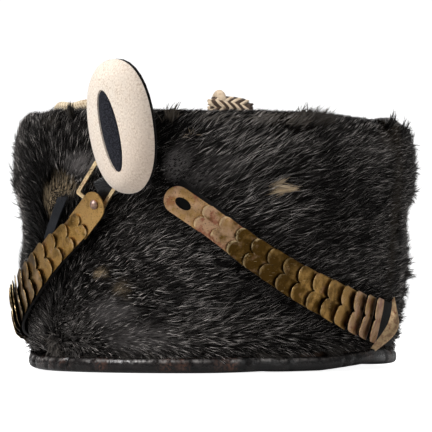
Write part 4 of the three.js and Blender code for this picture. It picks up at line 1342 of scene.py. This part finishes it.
# %% Leather finishes
BLACK_LEATHER, RUBBED_LEATHER = (0.005, 0.0045, 0.0045), (0.02, 0.013, 0.01)
GLOSSY_BLACK, GLOSSY_RUBBED = (0.002, 0.002, 0.0025), (0.01, 0.01, 0.012)
BLUE_BLACK, BLUE_RUBBED = (0.008, 0.009, 0.012), (0.016, 0.017, 0.021)
TANNED, TANNED_DARK = (0.085, 0.043, 0.022), (0.035, 0.018, 0.01)


def leather_finish(name, roughness, specular, dark, rubbed, rub_from, rub_to):
    """Pored leather of two colours, the second where noise runs from rub_from to rub_to."""
    material, desk = new_finish(name, roughness, Specular_IOR_Level=specular)
    desk.dress(mottled(desk, dark, rubbed, 90.0, rub_from, rub_to), grained(desk, 1500.0, 0.35, 0.00025))
    return material


STRAP_LEATHER = leather_finish("strap_leather", 0.6, 0.15, BLACK_LEATHER, RUBBED_LEATHER, 0.55, 0.8)
GLOSSY_LEATHER = leather_finish("glossy_leather", 0.2, 0.55, GLOSSY_BLACK, GLOSSY_RUBBED, 0.5, 0.8)
KEEPER_LEATHER = leather_finish("keeper_leather", 0.6, 0.2, BLUE_BLACK, BLUE_RUBBED, 0.45, 0.7)
SHELL_LEATHER = leather_finish("shell_leather", 0.6, 0.4, TANNED, TANNED_DARK, 0.4, 0.7)
print("leathers:", [m.name for m in (STRAP_LEATHER, GLOSSY_LEATHER, KEEPER_LEATHER, SHELL_LEATHER)])

# %% [markdown]
# The binding is a strip of thin leather rolled round the lower edge. Its foot stays flat. The roll is
# gathered in small creases where it was drawn round the curve, so its points are pushed in and out by
# a sum of waves that never quite repeats.

# %% The form of the binding
CREASES, SWELL = 56, 0.3 * MM
SAG_DEPTH, SAG_ANGLE, SAG_REACH = 1.8 * MM, 67, 20  # the last two in degrees

binding = copy_of("base_binding", "rolled_binding")
subdivide(binding, 3)
points = points_of(binding)
around, _, out = to_pelt(points)
outside = np.clip((out + 2.5 * MM) / (3 * MM), 0, 1) * np.clip(points[:, 2] / (2 * MM), 0, 1)
crease = np.zeros(len(points))
random = np.random.default_rng(8)
for middle in np.sort(random.uniform(-GIRTH / 2, GIRTH / 2, CREASES)):
    depth, reach = random.uniform(0.25, 1.2) * MM, random.uniform(0.6, 2.0) * MM
    lean = random.uniform(-0.8, 0.8)
    apart = around - middle - lean * (points[:, 2] - 4 * MM)
    crease -= depth * np.exp(-((apart / reach) ** 2))
swell = SWELL * (np.sin(around / (11 * MM)) + np.sin(around / (6.7 * MM) + 1) + np.sin(around / (17 * MM)))
heading = np.stack([points[:, 0] - AXIS_X, points[:, 1] - AXIS_Y, np.zeros(len(points))], axis=1)
moved = points + unit(heading) * ((crease + swell) * outside)[:, None]
# the roll hangs a little lower below the wearer's left temple
hung = SAG_DEPTH * np.clip(1 - np.abs(to_angle(around) - SAG_ANGLE) / SAG_REACH, 0, 1) ** 0.7
moved[:, 2] = np.maximum(moved[:, 2] - hung, np.minimum(moved[:, 2], 0))
move_points(binding, moved)
# how deep each crease is, for the painted shade in it
store(binding, "crease", np.clip(-crease / (0.7 * MM), 0, 1))
print("creases:", CREASES, " deepest", round(float(-crease.min()), 5), "m")

# %% [markdown]
# The roll's wear and a painted highlight are stored on its points, for the finish to read: rubbed spots,
# and a pale line painted near its top as a highlight. That line is broken, and fades away towards the back.

# %% The finish of the binding
RUBBED_SPOTS, SPOT_REACH = 22, 4 * MM
RUBBED_AT = (-4.0, 34.0)  # degrees; two places that are rubbed for certain
PAINTED_HIGHLIGHT_AT, PAINTED_HIGHLIGHT_HALF = 6.0 * MM, 0.8 * MM
# painted highlight: it fades towards the back, and the polish on the next line is this painted highlight
PAINTED_HIGHLIGHT_FADES = ([40, 70], [1, 0.25])  # degrees, and what is left of the polish there
ROLL_BLACK, ROLL_GREY = (0.006, 0.005, 0.005), (0.015, 0.0125, 0.012)
ROLL_RUSTY, ROLL_PAINTED_HIGHLIGHT, ROLL_PAINTED_CREASE_SHADE = (0.1, 0.045, 0.03), (0.27, 0.25, 0.24), (0.002, 0.0015, 0.0015)

spots = random.uniform(-GIRTH / 2, GIRTH / 2, RUBBED_SPOTS)
rub = np.zeros(len(points))
for spot in [*map(to_round, RUBBED_AT), *spots]:
    rub = np.maximum(rub, np.exp(-(((around - spot) / SPOT_REACH) ** 2)) * random.uniform(0.3, 1))
store(binding, "rub", rub * outside)
edge_height = points[:, 2] - edge_lift(to_angle(around))
painted_highlight = np.exp(-(((edge_height - PAINTED_HIGHLIGHT_AT) / PAINTED_HIGHLIGHT_HALF) ** 2)) * outside
broken = 0.5 + 0.5 * np.sin(around / (5.1 * MM)) * np.sin(around / (8.3 * MM) + 1)
fading = np.interp(to_angle(around), *PAINTED_HIGHLIGHT_FADES)
store(binding, "painted_highlight", painted_highlight * np.clip(broken * 1.6, 0, 1) * fading)

BINDING_LEATHER, desk = new_finish("binding_leather", 0.24, Specular_IOR_Level=0.36)
worn_off = desk.sum("MULTIPLY", desk.attribute("rub"), desk.span(desk.noise(700.0, 4.0), 0.42, 0.62))
black = mottled(desk, ROLL_BLACK, ROLL_GREY, 160.0, 0.4, 0.65)
rolled = desk.blend(worn_off, black, ROLL_RUSTY)
# painted highlight: a pale broken line near the roll's top
painted_shine = desk.sum("MULTIPLY", desk.attribute("painted_highlight"), desk.span(desk.noise(450.0, 3.0), 0.38, 0.6))
rolled = desk.blend(painted_shine, rolled, ROLL_PAINTED_HIGHLIGHT)
# painted shade: the colour darkens in the creases
desk.dress(desk.blend(desk.attribute("crease"), rolled, ROLL_PAINTED_CREASE_SHADE), grained(desk, 800.0, 0.3, 0.0004))
finish_piece(binding, BINDING_LEATHER, ["base_binding"])

# %% [markdown]
# The stiff shell is plain brown leather, seen only from below. The closed top is black cloth, laid in
# a shallow dome.

# %% Shell and crown
CLOTH_BLACK, CLOTH_GREY = (0.01, 0.0105, 0.013), (0.02, 0.02, 0.023)


def thread_rows(desk, direction):
    """Rows of threads across a level cloth."""
    inputs = {"Vector": desk.stretched((1, 1, 0)), "Scale": 900.0, "Distortion": 1.5}
    return desk.add("ShaderNodeTexWave", inputs, bands_direction=direction).outputs["Fac"]


shell = copy_of("shell", "leather_shell")
bevel(shell, 0.5)
finish_piece(shell, SHELL_LEATHER, ["shell"], smooth_angle=30)

crown = copy_of("crown", "cloth_crown")
bevel(crown, 0.5)
CLOTH_FINISH, desk = new_finish("crown_cloth", 0.92, Sheen_Weight=0.1, Specular_IOR_Level=0.2)
weave = desk.sum("MAXIMUM", thread_rows(desk, "X"), thread_rows(desk, "Y"))
desk.dress(mottled(desk, CLOTH_BLACK, CLOTH_GREY, 45.0, 0.4, 0.7), desk.bump(weave, 0.5, 0.0003))
finish_piece(crown, CLOTH_FINISH, ["crown"], smooth_angle=30)

# %% [markdown]
# The straps, the tab in the buckle and the keeper are flat strips. A bevel rounds their cut edges,
# because a sharp edge catches no light.

# %% Straps, tab and keeper
STRIPS = [
    # frame's solid, piece, finish
    ("left_strap", "left_strap_leather", STRAP_LEATHER),
    ("right_strap", "right_strap_leather", STRAP_LEATHER),
    ("right_buckle_tab", "buckle_tab_leather", GLOSSY_LEATHER),
    ("right_keeper", "keeper_leather", KEEPER_LEATHER),
]
for solid, name, leather in STRIPS:
    strip = copy_of(solid, name)
    subdivide(strip, 2, "SIMPLE")
    bevel(strip, 0.4, over=50)
    finish_piece(strip, leather, [solid], smooth_angle=35)

# %% [markdown]
# ## Chin scales
# Each chin scale is a leather strap with brass plates riveted on it, overlapped like roof tiles, so that
# it bends and still turns a blade. Fifteen plates with two lobes each grow wider towards the ear. One
# plate is modelled, and copied to where each solid of the frame lies, with its own small slip and
# tilt, as on a thing that was worn.

# %% One scale
SCALE_LENGTH, SCALE_THICKNESS, LOBE_DEPTH = 13.6 * MM, 0.32 * MM, 3.4 * MM
CAMBER, LOBE_DOME = 0.55 * MM, 0.03 * MM
SCALE_RIM = 0.6 * MM  # the rubbed edge of a plate is this wide
ROWS_ALONG, ROWS_ACROSS = 8, 24


def lobe_cut(across):
    """How far the free edge is cut back, from -1 to 1 across the scale, as a share of the lobes' depth."""
    in_lobe = 2 * np.mod(across + 1, 1) - 1
    in_lobe = np.where(np.isclose(np.abs(across), 1) | np.isclose(across, 0), 1, in_lobe)
    return 1 - np.sqrt(np.clip(1 - in_lobe**2, 0, 1))


deselect()
bpy.ops.mesh.primitive_grid_add(x_subdivisions=ROWS_ALONG, y_subdivisions=ROWS_ACROSS, size=2)
master = bpy.context.object
flat = points_of(master)
across, share = flat[:, 1], (flat[:, 0] + 1) / 2
reach = SCALE_LENGTH - LOBE_DEPTH * lobe_cut(across)
along = share * reach
dish = CAMBER * (1 - across**2) + LOBE_DOME * np.abs(np.sin(math.pi * across)) ** 0.5 * share**3
move_points(master, np.stack([along, across, dish], axis=1))
store(master, "edge", np.clip(1 - (1 - share) * reach / SCALE_RIM, 0, 1))
print("scale master:", len(flat), "points")


# %% [markdown]
# A solid's place is read from its own points: their middle, the flattest direction, which is off the
# strap, and the line to the next solid, which is along it.

# %% Where each scale lies
def node_points(name):
    """The corners of one of the frame's solids, each of them once."""
    return np.unique(np.round([v.co for v in NODES[name].data.vertices], 6), axis=0)


def plate_directions(name, ahead):
    """The middle of a thin plate, and its directions along, across and outward."""
    points = node_points(name)
    middle = points.mean(0)
    outward = np.linalg.svd(points - middle)[2][2]
    outward *= np.sign(outward @ (middle - [AXIS_X, AXIS_Y, middle[2]]))
    side = unit(np.cross(outward, ahead))
    return middle, np.cross(side, outward), side, outward


SCALE_COUNT = 15
WIDTH_AT_TIP, WIDTH_AT_EAR = 13.5 * MM, 24 * MM
TILT_DROP = ([0, 7, 10, 14], [5.2, 4.9, 1.6, 0.4])  # degrees a scale lies flatter than its solid
SLIP, TILT = 1.3, 1.0  # how far plates are turned out of line, in degrees
DENT = 0.1 * MM


def turned(first, second, degrees):
    """Two directions at right angles, both turned the same way in their own plane."""
    turn = math.radians(degrees)
    return first * math.cos(turn) + second * math.sin(turn), second * math.cos(turn) - first * math.sin(turn)


def scale_chain(side, plates, seed, wider, copper, bronze, dull, rub):
    """One chin scale's plates as one mesh, and the solids they stand for."""
    random = np.random.default_rng(seed)
    names = [f"{side}_scale_{i + 1:02d}" for i in range(plates)]
    middles = [node_points(name).mean(0) for name in names]
    base, faces = points_of(master), faces_of(master)
    edge = np.zeros(len(base))
    master.data.attributes["edge"].data.foreach_get("value", edge)
    local_middle = np.array([SCALE_LENGTH * 0.47, 0, CAMBER * 0.55])
    vertices, all_faces = [], []
    carried = {"copper": [], "bronze": [], "dull": [], "edge": []}
    for i, name in enumerate(names):
        before, after = middles[max(i - 1, 0)], middles[min(i + 1, plates - 1)]
        middle, to_tip, across, outward = plate_directions(name, unit(before - after))
        share = i / (SCALE_COUNT - 1)
        width = WIDTH_AT_TIP + (WIDTH_AT_EAR - WIDTH_AT_TIP) * share
        added = width * wider * min(1, i / 3)
        to_tip, across = turned(to_tip, across, random.normal(0, SLIP))
        across, outward = turned(across, outward, random.normal(0, TILT))
        root = middle - local_middle[0] * to_tip - local_middle[2] * outward + across * added / 2
        to_tip, outward = turned(to_tip, outward, -np.interp(i, *TILT_DROP))
        stretched = base * [1, (width + added) / 2, 1]
        dent = DENT * np.sin(base[:, 1] * 5 + i * 1.7) * np.sin(base[:, 0] / (3 * MM) + i * 2)
        placed = root + stretched[:, :1] * to_tip + stretched[:, 1:2] * across
        placed += (stretched[:, 2] + dent)[:, None] * outward
        all_faces += [[v + i * len(base) for v in face] for face in faces]
        vertices.append(placed)
        lobe = random.uniform(-0.2, 0.2, 2)
        per_lobe = np.where(base[:, 1] < 0, lobe[0], lobe[1])
        carried["copper"].append(np.interp(i, *copper) + per_lobe)
        carried["bronze"].append(np.interp(i, *bronze) + per_lobe[::-1])
        carried["dull"].append(np.full(len(base), np.interp(i, *dull)))
        carried["edge"].append(edge * np.interp(i, *rub))
    chain = new_piece(side + "_brass_scales", np.concatenate(vertices), all_faces)
    for quantity, values in carried.items():
        store(chain, quantity, np.clip(np.concatenate(values), 0, 1))
    apply_modifier(chain, "SOLIDIFY", thickness=SCALE_THICKNESS, offset=0)
    bevel(chain, 0.1, over=55)
    return chain, names


# %% [markdown]
# The brass is old. It has gone from gold to a brown bronze. Near the left tip and towards the left
# ear, where the gilding has gone, a pink copper shows. Free edges are rubbed bright, fine scratches
# run over the plates, and dirt sits in the pits. These colours are mixed by what each plate
# carries and by noise.

# %% Old brass
GOLD, BRONZE = (0.45, 0.26, 0.078), (0.11, 0.057, 0.011)
COPPER, BRIGHT = (0.62, 0.385, 0.23), (0.95, 0.74, 0.42)
RED, DIRT = (0.4, 0.16, 0.095), (0.025, 0.016, 0.01)
DULLED = (0.036, 0.019, 0.004)
PINK_GOLD, PLATE_GOLD = (0.62, 0.35, 0.22), (0.52, 0.31, 0.11)
PALE_GOLD_AND_PAINTED_HIGHLIGHT, RIVET_GOLD = (0.78, 0.56, 0.33), (0.45, 0.31, 0.27)


def brass_finish(name, copper, bronze, edge, roughness=0.34, gold=GOLD, dull=0.0):
    """copper, bronze, edge and dull are attribute names, or plain numbers for a piece without them."""
    material, desk = new_finish(name, roughness, metallic=1.0)

    def amount(given):
        return desk.attribute(given) if isinstance(given, str) else given

    def cloudy(given, scale, spread):
        clouds = desk.span(desk.noise(scale, 5.0), 0.32, 0.68, -spread, spread)
        return desk.span(desk.sum("ADD", clouds, amount(given)), 0.25, 0.75)

    colour = desk.blend(cloudy(bronze, 190.0, 0.4), gold, BRONZE)
    coppery = desk.blend(desk.span(desk.noise(170.0, 4.0), 0.54, 0.64), COPPER, RED)
    colour = desk.blend(cloudy(copper, 230.0, 0.32), colour, coppery)
    colour = desk.blend(amount(dull), colour, DULLED)
    pits = desk.span(desk.noise(1400.0, 5.0), 0.58, 0.7)
    colour = desk.blend(desk.sum("MULTIPLY", pits, 0.7), colour, DIRT)
    scratch = desk.noise(1.0, 2.0, desk.stretched((300.0, 300.0, 4200.0)))
    scratch = desk.span(scratch, 0.68, 0.74, 0.0, 0.45)
    rubbed = desk.sum("MULTIPLY", amount(edge), desk.span(desk.noise(500.0, 2.0), 0.4, 0.55, 0.0, 0.75))
    bare = desk.sum("MAXIMUM", scratch, rubbed)
    colour = desk.blend(bare, colour, BRIGHT)
    rough = desk.span(desk.noise(260.0, 4.0), 0.3, 0.7, roughness - 0.08, roughness + 0.16)
    desk.feed(desk.shader.inputs["Roughness"], rough)
    desk.dress(colour, grained(desk, 900.0, 0.3, 0.00014))
    return material


SCALE_BRASS = brass_finish("scale_brass", "copper", "bronze", "edge", dull="dull")
BENT_SOLIDS = ["left_scale_14", "left_scale_15"]  # the bent plate below stands for these
CHAINS = {
    # "wider" is how much wider than its strap a chain is, on its upper side. The last four give plates
    # counted from the tip, and how far they have turned to copper or bronze, gone dull, or been rubbed.
    "left": {
        "plates": SCALE_COUNT - len(BENT_SOLIDS),
        "seed": 41,
        "wider": 0.0,
        "copper": ([0, 1, 2, 8, 10, 14], [0.75, 0.5, 0, 0, 0.5, 0.75]),
        "bronze": ([0, 2, 3, 5, 6, 8, 10, 14], [0.4, 0.6, 0.8, 0.75, 0.5, 0.4, 0.05, 0]),
        "dull": ([0, 1, 2, 5, 6], [0.1, 0.25, 0.55, 0.52, 0]),
        "rub": ([0, 2, 4, 9, 12], [1, 0.8, 0.25, 0.4, 1]),
    },
    "right": {
        "plates": SCALE_COUNT,
        "seed": 42,
        "wider": 0.13,
        "copper": ([0, 14], [0.05, 0.15]),
        "bronze": ([0, 6, 14], [0.2, 0.35, 0.5]),
        "dull": ([0, 4, 7, 11, 14], [0, 0.2, 0.68, 0.62, 0.4]),
        "rub": ([0, 5, 8, 14], [0.5, 0.5, 1, 1]),
    },
}
for side, makings in CHAINS.items():
    chain, solids = scale_chain(side, **makings)
    finish_piece(chain, SCALE_BRASS, solids, smooth_angle=40)
bpy.data.objects.remove(master)

# %% [markdown]
# The last plate at the left ear was bent outwards at some time. Its free end stands off the cap as a thin
# bright crescent. It is a curved strip between two edges that follow the wall.

# %% The bent last plate
BENT_INNER = [(94.5, 33.5, 3.2), (94.7, 27, 3.8), (93.0, 20.5, 4.4), (89.7, 14.8, 4.2), (85.2, 8.2, 3.8)]
BENT_OUTER = [(94.3, 34.5, 3.8), (96.3, 26.3, 6.0), (97.2, 19.3, 8.0), (93.0, 13.2, 8.2), (86.6, 6.6, 5.0)]
BENT_STEPS, BENT_ACROSS, BENT_SWELL = 24, 5, 0.9 * MM
BENT_THICKNESS, SMOOTHINGS = 0.4 * MM, 14


def on_wall(rows, count):
    """A smooth line through places given as angle, height in mm and distance out in mm."""
    rows = np.array(rows, float)
    at = np.linspace(0, len(rows) - 1, count)
    angle, height, out = (np.interp(at, range(len(rows)), column) for column in rows.T)
    line = wall(angle, height * MM, out * MM)
    for _ in range(SMOOTHINGS):
        line[1:-1] = (line[:-2] + 2 * line[1:-1] + line[2:]) / 4
    return line


inner, outer = on_wall(BENT_INNER, BENT_STEPS), on_wall(BENT_OUTER, BENT_STEPS)
outward = unit(inner.mean(0) - [AXIS_X, AXIS_Y, inner.mean(0)[2]])
points, faces = [], []
for j in range(BENT_ACROSS):
    share = j / (BENT_ACROSS - 1)
    points.append(inner + (outer - inner) * share + outward * BENT_SWELL * math.sin(math.pi * share))
for j in range(BENT_ACROSS - 1):
    for i in range(BENT_STEPS - 1):
        a = j * BENT_STEPS + i
        faces.append((a, a + BENT_STEPS, a + BENT_STEPS + 1, a + 1))
bent_scale = new_piece("bent_last_scale", np.concatenate(points), faces)
apply_modifier(bent_scale, "SOLIDIFY", thickness=BENT_THICKNESS, offset=0)
BENT_BRASS = brass_finish("bent_brass", 0.8, 0.1, 0.5, 0.36, gold=PINK_GOLD, dull=0.34)
finish_piece(bent_scale, BENT_BRASS, BENT_SOLIDS, smooth_angle=40)

# %% [markdown]
# The end plates, the buckle, the rivet and the two studs keep the frame's forms. A bevel gives the
# plates their soft edge, and subdivision rounds the turned heads.

# %% Plates, buckle, rivet and studs
PLATE_BRASS = brass_finish("plate_brass", 0.05, 0.18, 0.0, gold=PLATE_GOLD)
# the buckle's pale gold and the bright patches spread all over it are partly its brass's own colour and
# wear, and partly painted highlight
PALE_BRASS_WITH_PAINTED_HIGHLIGHT = brass_finish("pale_brass", 0.25, 0.0, 0.9, 0.27, gold=PALE_GOLD_AND_PAINTED_HIGHLIGHT)
COPPERY_BRASS = brass_finish("coppery_brass", 0.5, 0.1, 0.0)
RIVET_BRASS = brass_finish("rivet_brass", 0.2, 0.15, 0.0, 0.48, gold=RIVET_GOLD)
FITTINGS = [
    # frame's solid, piece, rounding in mm, subdivisions, finish
    ("right_end_plate", "buckle_end_plate", 0.3, 0, PLATE_BRASS),
    ("left_eye_plate", "eye_end_plate", 0.3, 0, COPPERY_BRASS),
    ("right_buckle", "buckle_frame", 0.55, 0, PALE_BRASS_WITH_PAINTED_HIGHLIGHT),
    ("right_end_rivet", "rivet_head", 0, 2, RIVET_BRASS),
    ("left_anchor", "left_stud", 0, 2, PLATE_BRASS),
    ("right_anchor", "right_stud", 0, 2, PLATE_BRASS),
    ("badge_post", "badge_stem", 0.3, 0, PLATE_BRASS),
]
for solid, name, rounding, levels, brass in FITTINGS:
    fitting = copy_of(solid, name)
    if rounding:
        bevel(fitting, rounding, over=50, segments=3)
    if levels:
        subdivide(fitting, levels)
    finish_piece(fitting, brass, [solid], smooth_angle=35)

# %% [markdown]
# ## The field badge
# A hussar's field badge is an oval wooden core wound with wool in his state's colours, here cream round
# black. The frame's dome is subdivided into a smooth cushion. The wool is wound down its long
# axis, so its threads and flecks run lengthwise.

# %% The badge's own frame
badge_middle = node_points("badge_back").mean(0)
axes = np.linalg.svd(node_points("badge_back") - badge_middle)[2]
BADGE_LONG = axes[0] * np.sign(axes[0][2])
BADGE_FACE = axes[2] * np.sign(-axes[2][1])
BADGE_ACROSS = np.cross(BADGE_LONG, BADGE_FACE)
print("badge leans", round(math.degrees(math.asin(BADGE_FACE[2])), 1), "degrees")


def badge_coordinates(piece):
    """Where a piece's points lie across and along the badge."""
    apart = points_of(piece) - badge_middle
    return apart @ BADGE_ACROSS, apart @ BADGE_LONG


# %% The dome
PALE_WOOL, WOOL_SHADE, WOOL_CLOUD = (0.93, 0.82, 0.7), (0.58, 0.45, 0.34), (0.86, 0.77, 0.665)
FLECK, WOOL_PAINTED_SHADE = (0.27, 0.17, 0.12), (0.62, 0.44, 0.33)
THREAD_STRETCH = 0.55  # the pattern is drawn out along the threads

dome = copy_of("badge_dome", "wool_dome")
subdivide(dome, 2)
across, along = badge_coordinates(dome)
store(dome, "across", across / MM)
store(dome, "along", along / MM)

BADGE_WOOL, desk = new_finish("badge_wool", 0.95, Sheen_Weight=0.35)
drawn_out = desk.sum("MULTIPLY", desk.attribute("along"), THREAD_STRETCH)
threads = desk.add("ShaderNodeCombineXYZ", {0: desk.attribute("across"), 1: drawn_out}).outputs[0]
fine = desk.noise(1.7, 4.0, threads)
broad = desk.noise(0.35, 3.0, threads)
wool = desk.blend(desk.span(fine, 0.42, 0.68), PALE_WOOL, WOOL_SHADE)
wool = desk.blend(desk.span(broad, 0.35, 0.75), wool, WOOL_CLOUD)
flecks = desk.span(desk.noise(2.4, 2.0, threads), 0.6, 0.72)
wool = desk.blend(desk.sum("MULTIPLY", flecks, 0.6), wool, FLECK)
# painted shade: the wool darkens towards its lower end and its right side, in broad clouds
lower_painted_shade = desk.span(desk.attribute("along"), 6.0, -34.0, 0.0, 0.42)
painted_shade_amount = desk.sum("ADD", lower_painted_shade, desk.span(desk.attribute("across"), 2.0, 16.0, 0.0, 0.3))
painted_shade_amount = desk.sum("MULTIPLY", painted_shade_amount, desk.span(broad, 0.2, 0.6, 0.5, 1.0))
wool = desk.blend(painted_shade_amount, wool, WOOL_PAINTED_SHADE)
desk.dress(wool, desk.bump(fine, 0.35, 0.0006))
finish_piece(dome, BADGE_WOOL, ["badge_dome"])

# %% Inlay and back
NAP_BLACK, NAP_GREY = (0.006, 0.0065, 0.01), (0.035, 0.036, 0.048)
BACK_SHORTER, BACK_NARROWER = 0.035, 0.06  # shares by which the back is drawn in, to hide behind the dome

inlay = copy_of("badge_inlay", "black_inlay")
subdivide(inlay, 2)
INLAY_WOOL, desk = new_finish("badge_black", 0.9, Sheen_Weight=0.05, Specular_IOR_Level=0.2)
nap = desk.noise(1500.0, 3.0)
desk.dress(desk.blend(desk.span(nap, 0.42, 0.7), NAP_BLACK, NAP_GREY), desk.bump(nap, 0.5, 0.0004))
finish_piece(inlay, INLAY_WOOL, ["badge_inlay"])

back = copy_of("badge_back", "badge_backing")
across, along = badge_coordinates(back)
shortened = points_of(back) - np.outer(along, BADGE_LONG) * BACK_SHORTER
move_points(back, shortened - np.outer(across, BADGE_ACROSS) * BACK_NARROWER)
bevel(back, 0.3)
finish_piece(back, STRAP_LEATHER, ["badge_back"], smooth_angle=35)

# %% [markdown]
# ## Finish
# The visual model may stand a little proud of the solids, but not more than its fur and cords need. The
# solids that are still shown are listed.

# %% The solids still shown
print("solids still shown:", [name for name, piece in NODES.items() if not piece.hide_render])
